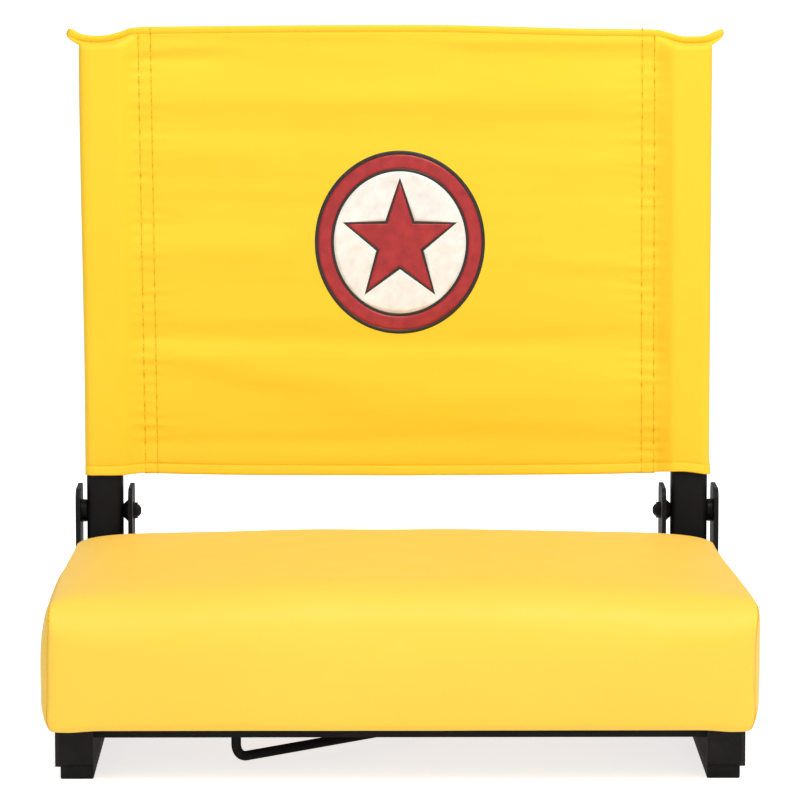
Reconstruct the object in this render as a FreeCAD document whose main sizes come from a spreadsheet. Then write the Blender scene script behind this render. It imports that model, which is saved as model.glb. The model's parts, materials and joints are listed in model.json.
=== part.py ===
"""Folding stadium seat: padded seat on a steel base, fabric back on two
hinged uprights, and a spring-held hook under the seat.

Frame: X across the seat (+X to the sitter's left), Y from front to back,
Z up. The origin is on the ground, below the middle of the seat. Lengths in mm.
"""
import FreeCAD, Part
import math
import os
import Sketcher

# Driving dimensions. A name ending in _x, _y or _z is a place in the frame.
SIZES = {
    # padded seat
    "seat_width": 464, "seat_depth": 315, "seat_front_y": -184,
    "seat_bottom_z": 35, "seat_top_z": 118, "seat_corner": 14,
    "cover_wall": 2, "lip_width": 24, "board_thick": 10, "foam_gap": 0.2,
    "board_inset": 5, "hole_past": 1,
    # side rails, with their end caps and the skids below them
    "rail_inner_x": 199, "rail_width": 25, "rail_bottom_z": 8, "rail_height": 27,
    "rail_front_y": -158, "rail_length": 339, "rail_wall": 2, "rail_corner": 1.2,
    "cap_thick": 3, "cap_plug": 10, "cap_bevel": 2.5, "cap_corner": 3,
    "skid_width": 21.5, "skid_rib": 6, "skid_slack": 0.2, "skid_corner": 1,
    # cross bars
    "bar_depth": 25, "bar_height": 9, "bar_wall": 1.5,
    "front_bar_y": -152, "rear_bar_y": 78,
    "screw_pitch": 130, "screw_shank": 2, "screw_head": 4, "screw_length": 12,
    "screw_access": 4.8, "screw_slack": 0.3, "screw_head_deep": 1.8, "screw_bevel": 0.8,
    "screw_point": 2,
    # hinge brackets, one either side of each upright
    "hinge_inner_x": 187, "hinge_width": 40, "hinge_wall": 3,
    "hinge_front_y": 138, "hinge_depth": 46, "hinge_top_z": 147.6,
    "hinge_lap": 22, "web_top_z": 105, "ear_corner": 8,
    "stop_low_z": 79, "stop_height": 20, "stop_width": 16, "stop_slack": 0.1,
    "stop_corner": 3,
    # pivot
    "pivot_y": 160, "pivot_z": 130, "bolt_radius": 3, "bolt_slack": 0.1,
    "bolt_head": 5.8, "bolt_head_deep": 2.8, "bolt_tail": 5.4, "bolt_bevel": 0.8,
    "nut_across": 10, "nut_thick": 3, "nut_collar": 4.4, "nut_collar_thick": 1.7,
    "nut_bevel": 1.2,
    "spacer_radius": 8, "spacer_small": 4.8, "spacer_slack": 0.1, "spacer_bevel": 0.6,
    "bush_radius": 5,
    # uprights
    "tube_centre_x": 207, "tube_width": 25.4, "tube_depth": 20, "tube_wall": 1.5,
    "tube_corner": 4, "tube_low_z": 75, "tube_top_z": 452, "plug_head": 2, "plug_deep": 10,
    "plug_slack": 0.3, "plug_side": 1.5,
    # fabric back
    "back_low_z": 156, "back_top_z": 473, "sleeve_top_z": 466,
    "sleeve_outer_x": 222, "sleeve_inner_x": 192, "seam_x": 182,
    "sleeve_half_depth": 12, "panel_half": 1.2, "sleeve_wall": 1.7,
    "room_inset": 1.5, "room_end": 4,
    # hook under the seat
    "hook_x": -107, "hook_y": -139.5, "hook_radius": 3.2, "hook_leg_z": 10.4,
    "hook_leg": 165, "hook_bend": 9, "hook_top_z": 99, "hook_angle": 43,
    "hook_round": 1.9,
    "guide_radius": 7, "guide_wall": 1, "guide_top_z": 103, "guide_slack": 0.1,
    "guide_bush": 10, "slider_thick": 3, "clip_thick": 2.5, "clip_radius": 5.4,
    "clip_gap": 0.5, "spring_radius": 4.4, "spring_wire": 0.55, "spring_turns": 6,
    "spring_slack": 0.1,
}

ROOT_THREE = round(math.sqrt(3), 7)
WIRE_SIDES = 8
CLOSE = 1e-6
LEFT_TO_RIGHT = FreeCAD.Vector(1, 0, 0)
FRONT_TO_BACK = FreeCAD.Vector(0, 1, 0)

doc = FreeCAD.newDocument("StadiumSeat")
subparts = []


def make_sheet():
    """Spreadsheet with one aliased cell for each driving dimension."""
    sheet = doc.addObject("Spreadsheet::Sheet", "Sizes")
    for row, (alias, size) in enumerate(SIZES.items(), start=1):
        sheet.set(f"A{row}", alias)
        sheet.set(f"B{row}", str(size))
        sheet.setAlias(f"B{row}", alias)
    doc.recompute()
    return sheet


SHEET = make_sheet()


def full(expression):
    """Expression text with each dimension's name given its sheet."""
    words = []
    for word in str(expression).replace("(", "( ").replace(")", " )").split():
        bare = word.lstrip("-")
        sign = word[:len(word) - len(bare)]
        words.append(f"{sign}Sizes.{bare}" if bare in SIZES else word)
    return " ".join(words)


def number(expression):
    """Present value of an expression, as a plain number."""
    return float(SHEET.evalExpression(full(expression)))


def bind(thing, bindings):
    """Bind properties of a document object to expressions."""
    for name, expression in bindings.items():
        thing.setExpression(name, full(expression))


def place(thing, x="0", y="0", z="0"):
    """Put an object's own origin at a place in the frame."""
    bind(thing, {"Placement.Base.x": x, "Placement.Base.y": y, "Placement.Base.z": z})


def turn(thing, axis, degrees):
    """Turn an object about its own origin."""
    thing.Placement.Rotation = FreeCAD.Rotation(FreeCAD.Vector(*axis), degrees)


def keep(thing, label):
    """Name a finished sub-part and list it for writing out."""
    thing.Label = label
    subparts.append(thing)
    return thing


# ---------------------------------------------------------------- sketches

def new_sketch(body, role, name):
    """Sketch on one of a body's own origin planes."""
    plane = [item for item in body.Origin.OriginFeatures if item.Role == role][0]
    sketch = body.newObject("Sketcher::SketchObject", name)
    sketch.AttachmentSupport = [(plane, "")]
    sketch.MapMode = "FlatFace"
    return sketch


def draw_polygon(sketch, corners):
    """Closed outline whose corners are pairs of expressions."""
    first = sketch.GeometryCount
    count = len(corners)
    points = [(number(x), number(y)) for x, y in corners]
    for index, start in enumerate(points):
        end = points[(index + 1) % count]
        line = Part.LineSegment(FreeCAD.Vector(*start, 0), FreeCAD.Vector(*end, 0))
        sketch.addGeometry(line, False)
    for index in range(count):
        after = first + (index + 1) % count
        sketch.addConstraint(Sketcher.Constraint("Coincident", first + index, 2, after, 1))
    for index, (x, y) in enumerate(corners):
        for kind, expression, size in zip(("DistanceX", "DistanceY"), (x, y), points[index]):
            rule = Sketcher.Constraint(kind, -1, 1, first + index, 1, size)
            place_rule(sketch, rule, expression)


def place_rule(sketch, rule, expression):
    """Add a dimension to a sketch and bind it."""
    index = sketch.addConstraint(rule)
    sketch.setExpression(f"Constraints[{index}]", full(expression))


def draw_rectangle(sketch, left, low, width, height):
    """Closed rectangle from its lower left corner and its size."""
    right = f"{left} + {width}"
    high = f"{low} + {height}"
    draw_polygon(sketch, [(left, low), (right, low), (right, high), (left, high)])


def draw_circle(sketch, x, y, radius):
    """Circle whose centre and radius are expressions."""
    index = sketch.GeometryCount
    centre = FreeCAD.Vector(number(x), number(y), 0)
    sketch.addGeometry(Part.Circle(centre, FreeCAD.Vector(0, 0, 1), number(radius)), False)
    place_rule(sketch, Sketcher.Constraint("DistanceX", -1, 1, index, 3, centre.x), x)
    place_rule(sketch, Sketcher.Constraint("DistanceY", -1, 1, index, 3, centre.y), y)
    place_rule(sketch, Sketcher.Constraint("Radius", index, number(radius)), radius)


# ---------------------------------------------------------------- features

def new_body(name):
    return doc.addObject("PartDesign::Body", name)


def pad(body, sketch, length, both_ways=False):
    """Pad a sketch away from its plane, or half each way."""
    feature = body.newObject("PartDesign::Pad", f"{sketch.Name}Pad")
    feature.Profile = sketch
    feature.Midplane = both_ways
    bind(feature, {"Length": length})
    sketch.Visibility = False
    doc.recompute()
    return feature


def pocket(body, sketch, length=None, reverse=False):
    """Cut a sketch into its body, to a depth or through everything."""
    before = body.Shape.Volume
    feature = body.newObject("PartDesign::Pocket", f"{sketch.Name}Pocket")
    feature.Profile = sketch
    feature.Reversed = reverse
    if length is None:
        feature.Type = "ThroughAll"
        feature.Midplane = True
    else:
        bind(feature, {"Length": length})
    sketch.Visibility = False
    doc.recompute()
    if body.Shape.Volume >= before:
        raise RuntimeError(f"{feature.Name} removes nothing: {feature.State}")
    return feature


def edge_names(shape, wanted):
    """Names of the edges for which wanted(edge) is true."""
    return [f"Edge{i}" for i, edge in enumerate(shape.Edges, start=1) if wanted(edge)]


def fillet(body, wanted, radius):
    """Round the chosen edges of a body."""
    base = body.Tip
    feature = body.newObject("PartDesign::Fillet", f"{base.Name}Round")
    feature.Base = (base, edge_names(base.Shape, wanted))
    bind(feature, {"Radius": radius})
    doc.recompute()
    return feature


def chamfer(body, wanted, size):
    """Bevel the chosen edges of a body."""
    base = body.Tip
    feature = body.newObject("PartDesign::Chamfer", f"{base.Name}Bevel")
    feature.Base = (base, edge_names(base.Shape, wanted))
    bind(feature, {"Size": size})
    doc.recompute()
    return feature


def along(edge, axis):
    """True for a straight edge along "x", "y" or "z"."""
    start, end = edge.firstVertex().Point, edge.lastVertex().Point
    spread = [abs(a - b) for a, b in zip(start, end)]
    index = "xyz".index(axis)
    return spread[index] > CLOSE and sum(spread) - spread[index] < CLOSE


def mirror(source, label, normal=LEFT_TO_RIGHT, at="0"):
    """Mirror image of a sub-part, in a plane square to X or Y."""
    image = doc.addObject("Part::Mirroring", f"{label}Image")
    image.Source = source
    image.Normal = normal
    bind(image, {"Base.x" if normal.x else "Base.y": at})
    return keep(image, label)


def group(name, members):
    """Identical loose pieces that share one node."""
    compound = doc.addObject("Part::Compound", f"{name}Group")
    compound.Links = members
    return keep(compound, name)


def pair(source, name):
    """A right-hand piece and its left-hand mirror image, in one node."""
    image = doc.addObject("Part::Mirroring", f"{name}Image")
    image.Source = source
    image.Normal = LEFT_TO_RIGHT
    return group(name, [source, image])


def ring_body(name, outer, inner, length):
    """Plain ring that stands on its own origin, along its own Z."""
    body = new_body(name)
    sketch = new_sketch(body, "XY_Plane", f"{name}Section")
    draw_circle(sketch, "0", "0", outer)
    draw_circle(sketch, "0", "0", inner)
    pad(body, sketch, length)
    return body


# ---------------------------------------------------------------- seat

def padded_block(name, inset):
    """Block with the seat's outline, drawn in by inset, rounded all over but below."""
    body = new_body(name)
    sketch = new_sketch(body, "XY_Plane", f"{name}Outline")
    width = f"seat_width - 2 * ( {inset} )"
    depth = f"seat_depth - 2 * ( {inset} )"
    draw_rectangle(sketch, f"-seat_width / 2 + {inset}", f"seat_front_y + {inset}", width, depth)
    pad(body, sketch, f"seat_top_z - seat_bottom_z - ( {inset} )")
    lowest = body.Shape.BoundBox.ZMin
    fillet(body, lambda edge: edge.CenterOfMass.z > lowest + CLOSE, f"seat_corner - ( {inset} )")
    place(body, z="seat_bottom_z")
    return body


def seat_cover():
    """Fabric cover, open below, with a lip folded in under the board."""
    outside = padded_block("CoverOutside", "0")
    inside = padded_block("CoverInside", "cover_wall")
    opening = doc.addObject("Part::Box", "CoverOpening")
    bind(opening, {"Length": "seat_width - 2 * lip_width",
                   "Width": "seat_depth - 2 * lip_width", "Height": "cover_wall"})
    place(opening, "-seat_width / 2 + lip_width", "seat_front_y + lip_width", "seat_bottom_z")
    above_lip = doc.addObject("Part::Box", "AboveLip")
    bind(above_lip, {"Length": "seat_width", "Width": "seat_depth", "Height": "seat_top_z"})
    place(above_lip, "-seat_width / 2", "seat_front_y", "seat_bottom_z + cover_wall")
    room = doc.addObject("Part::Common", "CoverRoom")
    room.Base = inside
    room.Tool = above_lip
    shell = doc.addObject("Part::Cut", "CoverShell")
    shell.Base = outside
    shell.Tool = room
    cover = doc.addObject("Part::Cut", "SeatCover")
    cover.Base = shell
    cover.Tool = opening
    keep(cover, "seat_cover")


def guide_hole(name, radius):
    """Upright cylinder on the hook's axis, for holes round the hook's guide."""
    hole = doc.addObject("Part::Cylinder", name)
    bind(hole, {"Radius": radius, "Height": "guide_top_z - seat_bottom_z + hole_past"})
    place(hole, "hook_x", "hook_y", "seat_bottom_z")
    return hole


def seat_foam():
    """Foam block on the board, with a blind hole over the hook's guide."""
    block = padded_block("FoamBlock", "cover_wall + foam_gap")
    below = doc.addObject("Part::Box", "BelowFoam")
    bind(below, {"Length": "seat_width", "Width": "seat_depth",
                 "Height": "cover_wall + board_thick"})
    place(below, "-seat_width / 2", "seat_front_y", "seat_bottom_z")
    top = doc.addObject("Part::Cut", "FoamTop")
    top.Base = block
    top.Tool = below
    foam = doc.addObject("Part::Cut", "SeatFoam")
    foam.Base = top
    foam.Tool = guide_hole("FoamHole", "guide_radius + hole_past")
    keep(foam, "seat_foam")


def seat_board():
    """Plywood board inside the cover, on the lip, drilled for the guide and screws."""
    body = new_body("SeatBoard")
    outline = new_sketch(body, "XY_Plane", "BoardOutline")
    inset = "cover_wall + board_inset"
    draw_rectangle(outline, f"-seat_width / 2 + {inset}", f"seat_front_y + {inset}",
                   f"seat_width - 2 * ( {inset} )", f"seat_depth - 2 * ( {inset} )")
    pad(body, outline, "board_thick")
    fillet(body, lambda edge: along(edge, "z"), "seat_corner - cover_wall")
    holes = new_sketch(body, "XY_Plane", "BoardHoles")
    draw_circle(holes, "hook_x", "hook_y", "guide_radius + hole_past")
    pocket(body, holes)
    pilots = new_sketch(body, "XY_Plane", "BoardPilots")
    for x, y in screw_places():
        draw_circle(pilots, x, y, "screw_shank")
    pocket(body, pilots, "screw_length - cover_wall - bar_wall + hole_past", reverse=True)
    place(body, z="seat_bottom_z + cover_wall")
    keep(body, "seat_board")


# ---------------------------------------------------------------- base frame

def screw_places():
    """Screws that hold the board: three along each cross bar."""
    return [(x, f"{bar} + bar_depth / 2") for bar in ("front_bar_y", "rear_bar_y")
            for x in ("-screw_pitch", "0", "screw_pitch")]


def cross_bar(name, label, bar_y, hook_hole):
    """Flat steel tube between the side rails, drilled for the board screws."""
    body = new_body(name)
    section = new_sketch(body, "YZ_Plane", f"{name}Section")
    draw_rectangle(section, "0", "0", "bar_depth", "bar_height")
    draw_rectangle(section, "bar_wall", "bar_wall",
                   "bar_depth - 2 * bar_wall", "bar_height - 2 * bar_wall")
    pad(body, section, "2 * rail_inner_x", both_ways=True)
    shanks = new_sketch(body, "XY_Plane", f"{name}Shanks")
    access = new_sketch(body, "XY_Plane", f"{name}Access")
    for x in ("-screw_pitch", "0", "screw_pitch"):
        draw_circle(shanks, x, "bar_depth / 2", "screw_shank + screw_slack")
        draw_circle(access, x, "bar_depth / 2", "screw_access")
    pocket(body, shanks)
    pocket(body, access, "bar_wall", reverse=True)
    if hook_hole:
        hole = new_sketch(body, "XY_Plane", f"{name}HookHole")
        draw_circle(hole, "hook_x", "bar_depth / 2", "guide_radius + guide_slack")
        pocket(body, hole)
    place(body, y=bar_y, z="rail_bottom_z + rail_height - bar_height")
    keep(body, label)


def board_screws():
    """Pan-head screws up through the cross bars into the board."""
    screws = []
    for index, (x, y) in enumerate(screw_places()):
        body = new_body(f"Screw{index}")
        profile = new_sketch(body, "XZ_Plane", f"Screw{index}Profile")
        draw_polygon(profile, [("0", "-screw_head_deep"),
                               ("screw_head - screw_bevel", "-screw_head_deep"),
                               ("screw_head", "screw_bevel - screw_head_deep"),
                               ("screw_head", "0"), ("screw_shank", "0"),
                               ("screw_shank", "screw_length - screw_point"),
                               ("0", "screw_length")])
        spin = body.newObject("PartDesign::Revolution", f"Screw{index}Turned")
        spin.Profile = profile
        spin.ReferenceAxis = (profile, ["V_Axis"])
        spin.Angle = 360
        place(body, x, y, "rail_bottom_z + rail_height - bar_wall")
        screws.append(body)
    group("board_screws", screws)


def side_rail():
    """Steel channel, open below, along the right side; the left one is its image."""
    body = new_body("SideRail")
    section = new_sketch(body, "XZ_Plane", "RailSection")
    inner = "rail_width - rail_wall"
    roof = "rail_height - rail_wall"
    draw_polygon(section, [("0", "0"), ("rail_wall", "0"), ("rail_wall", roof), (inner, roof),
                           (inner, "0"), ("rail_width", "0"), ("rail_width", "rail_height"),
                           ("0", "rail_height")])
    pad(body, section, "rail_length")
    fillet(body, lambda edge: along(edge, "y") and edge.CenterOfMass.z > SIZES["rail_height"] - 1,
           "rail_corner")
    place(body, "rail_inner_x", "rail_front_y + rail_length", "rail_bottom_z")
    keep(body, "side_rail_right")
    mirror(body, "side_rail_left")


def skid():
    """Tread under the rail, with a rib that fills the channel's mouth."""
    body = new_body("Skid")
    section = new_sketch(body, "XZ_Plane", "SkidSection")
    rib_left = "rail_wall + skid_slack"
    rib_right = "rail_width - rail_wall - skid_slack"
    rib_top = "rail_bottom_z + skid_rib"
    draw_polygon(section, [("0", "0"), ("skid_width", "0"), ("skid_width", "rail_bottom_z"),
                           (rib_right, "rail_bottom_z"), (rib_right, rib_top),
                           (rib_left, rib_top), (rib_left, "rail_bottom_z"),
                           ("0", "rail_bottom_z")])
    pad(body, section, "rail_length")
    fillet(body, lambda edge: along(edge, "y") and edge.CenterOfMass.z < CLOSE, "skid_corner")
    place(body, "rail_inner_x", "rail_front_y + rail_length")
    keep(body, "skid_right")
    mirror(body, "skid_left")


def rail_caps():
    """Moulded caps that close the four rail ends."""
    body = new_body("RailCap")
    face = new_sketch(body, "XZ_Plane", "CapFace")
    draw_rectangle(face, "0", "0", "rail_width", "rail_height")
    pad(body, face, "cap_thick")
    front = -SIZES["cap_thick"]
    lower_outer = SIZES["rail_width"]

    def is_corner(edge):
        middle = edge.CenterOfMass
        return along(edge, "y") and middle.z < CLOSE and middle.x > lower_outer - CLOSE

    def is_front_bottom(edge):
        middle = edge.CenterOfMass
        return along(edge, "x") and middle.z < CLOSE and abs(middle.y - front) < CLOSE

    fillet(body, is_corner, "cap_corner")
    chamfer(body, is_front_bottom, "cap_bevel")
    plug = new_sketch(body, "XZ_Plane", "CapPlug")
    draw_rectangle(plug, "rail_wall + skid_slack", "skid_rib + skid_slack",
                   "rail_width - 2 * ( rail_wall + skid_slack )",
                   "rail_height - rail_wall - skid_rib - 2 * skid_slack")
    stub = pad(body, plug, "cap_plug")
    stub.Reversed = True
    doc.recompute()
    place(body, "rail_inner_x", "rail_front_y", "rail_bottom_z")
    keep(body, "front_cap_right")
    middle = "rail_front_y + rail_length / 2"
    mirror(body, "front_cap_left")
    rear = mirror(body, "rear_cap_right", FRONT_TO_BACK, middle)
    mirror(rear, "rear_cap_left")


def hinge_bracket():
    """Pressed bracket: two ears joined by a front web and a floor on the rail."""
    body = new_body("HingeBracket")
    section = new_sketch(body, "XY_Plane", "BracketSection")
    inner = "hinge_width - hinge_wall"
    draw_polygon(section, [("0", "0"), ("hinge_width", "0"), ("hinge_width", "hinge_depth"),
                           (inner, "hinge_depth"), (inner, "hinge_wall"),
                           ("hinge_wall", "hinge_wall"), ("hinge_wall", "hinge_depth"),
                           ("0", "hinge_depth")])
    pad(body, section, "hinge_top_z - rail_bottom_z - rail_height + hinge_lap")
    trim = new_sketch(body, "XZ_Plane", "BracketTrim")
    draw_rectangle(trim, "-hole_past", "-hole_past", "hinge_width - hinge_wall + hole_past",
                   "hinge_lap + hole_past")
    draw_rectangle(trim, "hinge_wall", "web_top_z - rail_bottom_z - rail_height + hinge_lap",
                   "hinge_width - 2 * hinge_wall", "hinge_top_z")
    pocket(body, trim)
    round_ear_tops(body)
    floor = new_sketch(body, "XY_Plane", "BracketFloor")
    floor.AttachmentOffset = FreeCAD.Placement(
        FreeCAD.Vector(0, 0, SIZES["hinge_lap"]), FreeCAD.Rotation())
    floor.setExpression("AttachmentOffset.Base.z", full("hinge_lap"))
    draw_rectangle(floor, "0", "0", "hinge_width", "hinge_depth")
    pad(body, floor, "hinge_wall")
    drill_ears(body)
    place(body, "hinge_inner_x", "hinge_front_y", "rail_bottom_z + rail_height - hinge_lap")
    keep(body, "hinge_bracket_right")
    mirror(body, "hinge_bracket_left")


def round_ear_tops(body):
    """Round the front and rear top corners of both ears."""
    top = body.Shape.BoundBox.ZMax
    rear = body.Shape.BoundBox.YMax

    def is_end(edge):
        middle = edge.CenterOfMass
        at_end = min(abs(middle.y), abs(middle.y - rear)) < CLOSE
        return along(edge, "x") and middle.z > top - CLOSE and at_end

    fillet(body, is_end, "ear_corner")


def drill_ears(body):
    """Pivot hole through both ears, countersunk on the outside."""
    hole = new_sketch(body, "YZ_Plane", "PivotHole")
    centre_y = "pivot_y - hinge_front_y"
    centre_z = "pivot_z - rail_bottom_z - rail_height + hinge_lap"
    draw_circle(hole, centre_y, centre_z, "bolt_radius + bolt_slack")
    pocket(body, hole)
    sink = new_sketch(body, "XY_Plane", "Countersink")
    sink.AttachmentOffset = FreeCAD.Placement(
        FreeCAD.Vector(0, 0, number(centre_z)), FreeCAD.Rotation())
    sink.setExpression("AttachmentOffset.Base.z", full(centre_z))
    wide = f"{centre_y} + bolt_head + bolt_slack"
    draw_polygon(sink, [("hinge_width", centre_y), ("hinge_width + hole_past", centre_y),
                        ("hinge_width + hole_past", wide), ("hinge_width", wide),
                        ("hinge_width - bolt_head_deep", f"{centre_y} + bolt_radius + bolt_slack"),
                        ("hinge_width - bolt_head_deep", centre_y)])
    groove = body.newObject("PartDesign::Groove", "CountersinkCut")
    groove.Profile = sink
    groove.ReferenceAxis = (sink, ["Edge1"])
    groove.Angle = 360
    before = body.Shape.Volume
    doc.recompute()
    if body.Shape.Volume >= before:
        raise RuntimeError("the countersink removes nothing")


def stop_blocks():
    """Rubber blocks on the webs, which the uprights lean on when open."""
    block = new_body("StopBlock")
    face = new_sketch(block, "XZ_Plane", "StopFace")
    draw_rectangle(face, "-stop_width / 2", "0", "stop_width", "stop_height")
    depth = "pivot_y - tube_depth / 2 - hinge_front_y - hinge_wall - stop_slack"
    pad(block, face, depth)
    fillet(block, lambda edge: along(edge, "y"), "stop_corner")
    place(block, "tube_centre_x", f"hinge_front_y + hinge_wall + {depth}", "stop_low_z")
    pair(block, "stop_blocks")


# ---------------------------------------------------------------- pivot

def turned_on_pivot(name, profile_points):
    """Solid of revolution about the pivot, from (x, radius) points in the frame."""
    body = new_body(name)
    profile = new_sketch(body, "XZ_Plane", f"{name}Profile")
    draw_polygon(profile, profile_points)
    spin = body.newObject("PartDesign::Revolution", f"{name}Turned")
    spin.Profile = profile
    spin.ReferenceAxis = (profile, ["H_Axis"])
    spin.Angle = 360
    place(body, y="pivot_y", z="pivot_z")
    return body


def pivot_bolts():
    """Countersunk bolts, heads flush with the outer ears."""
    outer = "hinge_inner_x + hinge_width"
    tail = "hinge_inner_x - bolt_tail"
    points = [(tail, "0"), (outer, "0"), (outer, "bolt_head"),
              (f"{outer} - bolt_head_deep", "bolt_radius"),
              (f"{tail} + bolt_bevel", "bolt_radius"), (tail, "bolt_radius - bolt_bevel")]
    pair(turned_on_pivot("PivotBolt", points), "pivot_bolts")


def spacers():
    """Washers outside the uprights and cones inside, tight in the ears' gap."""
    tube_out = "tube_centre_x + tube_width / 2 + spacer_slack"
    ear_out = "hinge_inner_x + hinge_width - hinge_wall"
    bore = "bolt_radius + bolt_slack"
    washer = [(tube_out, bore), (ear_out, bore), (ear_out, "spacer_radius"),
              (f"{tube_out} + spacer_bevel", "spacer_radius"),
              (tube_out, "spacer_radius - spacer_bevel")]
    pair(turned_on_pivot("OuterSpacer", washer), "outer_spacers")
    tube_in = "tube_centre_x - tube_width / 2 - spacer_slack"
    ear_in = "hinge_inner_x + hinge_wall"
    cone = [(ear_in, bore), (tube_in, bore), (tube_in, "spacer_small"),
            (f"{ear_in} + spacer_bevel", "spacer_radius"), (ear_in, "spacer_radius")]
    pair(turned_on_pivot("InnerSpacer", cone), "inner_spacers")


def pivot_bushes():
    """Steel sleeves across the uprights that turn on the bolts."""
    start = "tube_centre_x - tube_width / 2"
    end = "tube_centre_x + tube_width / 2"
    bore = "bolt_radius + bolt_slack"
    points = [(start, bore), (end, bore), (end, "bush_radius"), (start, "bush_radius")]
    pair(turned_on_pivot("PivotBush", points), "pivot_bushes")


def pivot_nuts():
    """Lock nuts: a hexagon with a round collar, inside the inner ears."""
    hexagon = new_body("NutHexagon")
    outline = new_sketch(hexagon, "YZ_Plane", "NutOutline")
    across_corners = f"nut_across / {ROOT_THREE}"
    flat = "nut_across / 2"
    half = f"nut_across / {ROOT_THREE} / 2"
    draw_polygon(outline, [("0", across_corners), (flat, half), (flat, f"-{half}"),
                           ("0", f"-{across_corners}"), (f"-{flat}", f"-{half}"),
                           (f"-{flat}", half)])
    pad(hexagon, outline, "nut_thick")
    place(hexagon, "hinge_inner_x - nut_thick", "pivot_y", "pivot_z")
    collar_end = "hinge_inner_x - nut_thick - nut_collar_thick"
    collar = turned_on_pivot("NutCollar", [
        (collar_end, "0"), ("hinge_inner_x - nut_thick", "0"),
        ("hinge_inner_x - nut_thick", "nut_collar"), (f"{collar_end} + nut_bevel", "nut_collar"),
        (collar_end, "nut_collar - nut_bevel")])
    solid = doc.addObject("Part::Fuse", "NutSolid")
    solid.Base = hexagon
    solid.Tool = collar
    bore = doc.addObject("Part::Cylinder", "NutBore")
    bind(bore, {"Radius": "bolt_radius", "Height": "bolt_tail + 2 * hole_past"})
    turn(bore, (0, 1, 0), 90)
    place(bore, "hinge_inner_x - bolt_tail - hole_past", "pivot_y", "pivot_z")
    nut = doc.addObject("Part::Cut", "PivotNut")
    nut.Base = solid
    nut.Tool = bore
    pair(nut, "pivot_nuts")


# ---------------------------------------------------------------- back

def upright():
    """Rounded steel tube with a cross hole for its pivot bush."""
    body = new_body("Upright")
    outline = new_sketch(body, "XY_Plane", "TubeOutline")
    draw_rectangle(outline, "-tube_width / 2", "-tube_depth / 2", "tube_width", "tube_depth")
    pad(body, outline, "tube_top_z - tube_low_z")
    fillet(body, lambda edge: along(edge, "z"), "tube_corner")
    core = doc.addObject("PartDesign::Body", "UprightCore")
    inside = new_sketch(core, "XY_Plane", "CoreOutline")
    draw_rectangle(inside, "-tube_width / 2 + tube_wall", "-tube_depth / 2 + tube_wall",
                   "tube_width - 2 * tube_wall", "tube_depth - 2 * tube_wall")
    pad(core, inside, "tube_top_z - tube_low_z")
    fillet(core, lambda edge: along(edge, "z"), "tube_corner - tube_wall")
    for part in (body, core):
        place(part, "tube_centre_x", "pivot_y", "tube_low_z")
    tube = doc.addObject("Part::Cut", "UprightTube")
    tube.Base = body
    tube.Tool = core
    hole = doc.addObject("Part::Cylinder", "UprightHole")
    bind(hole, {"Radius": "bush_radius", "Height": "tube_width + 2 * hole_past"})
    turn(hole, (0, 1, 0), 90)
    place(hole, "tube_centre_x - tube_width / 2 - hole_past", "pivot_y", "pivot_z")
    drilled = doc.addObject("Part::Cut", "UprightDrilled")
    drilled.Base = tube
    drilled.Tool = hole
    keep(drilled, "upright_right")
    mirror(drilled, "upright_left")


def tube_plugs(name, label, z, head_below):
    """Plastic plugs for one end of the uprights: a flat head and a stub inside."""
    body = new_body(name)
    head = new_sketch(body, "XY_Plane", f"{name}Head")
    draw_rectangle(head, "-tube_width / 2", "-tube_depth / 2", "tube_width", "tube_depth")
    lid = pad(body, head, "plug_head")
    lid.Reversed = head_below
    doc.recompute()
    fillet(body, lambda edge: along(edge, "z"), "tube_corner")
    stub = new_sketch(body, "XY_Plane", f"{name}Stub")
    gap = "tube_wall + plug_slack"
    side = f"{gap} + plug_side"
    draw_rectangle(stub, f"-tube_width / 2 + {side}", f"-tube_depth / 2 + {gap}",
                   f"tube_width - 2 * ( {side} )", f"tube_depth - 2 * ( {gap} )")
    stem = pad(body, stub, "plug_deep")
    stem.Reversed = not head_below
    doc.recompute()
    place(body, "tube_centre_x", "pivot_y", z)
    pair(body, label)


def back_sling():
    """Fabric back: one panel with a closed-top sleeve over each upright."""
    body = new_body("BackSling")
    outline = new_sketch(body, "XY_Plane", "SlingOutline")
    right = [("seam_x", "-panel_half"), ("sleeve_inner_x", "-sleeve_half_depth"),
             ("sleeve_outer_x", "-sleeve_half_depth"), ("sleeve_outer_x", "sleeve_half_depth"),
             ("sleeve_inner_x", "sleeve_half_depth"), ("seam_x", "panel_half")]
    left = [(f"-{x}", y) for x, y in reversed(right)]
    draw_polygon(outline, right + left)
    pad(body, outline, "sleeve_top_z - back_low_z")
    panel = new_sketch(body, "XY_Plane", "PanelOutline")
    draw_rectangle(panel, "-seam_x", "-panel_half", "2 * seam_x", "2 * panel_half")
    pad(body, panel, "back_top_z - back_low_z")
    for side, sign in (("Right", ""), ("Left", "-")):
        room = new_sketch(body, "XY_Plane", f"SleeveRoom{side}")
        near = "sleeve_inner_x + room_inset"
        far = "sleeve_outer_x - sleeve_wall"
        half = "sleeve_half_depth - sleeve_wall"
        corners = [(near, f"-( {half} )"), (far, f"-( {half} )"), (far, half), (near, half),
                   ("seam_x + room_end", "0")]
        draw_polygon(room, [(f"{sign}( {x} )", y) for x, y in corners])
        pocket(body, room, "sleeve_top_z - back_low_z - sleeve_wall", reverse=True)
    place(body, y="pivot_y", z="back_low_z")
    keep(body, "back_sling")


# ---------------------------------------------------------------- hook

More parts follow.
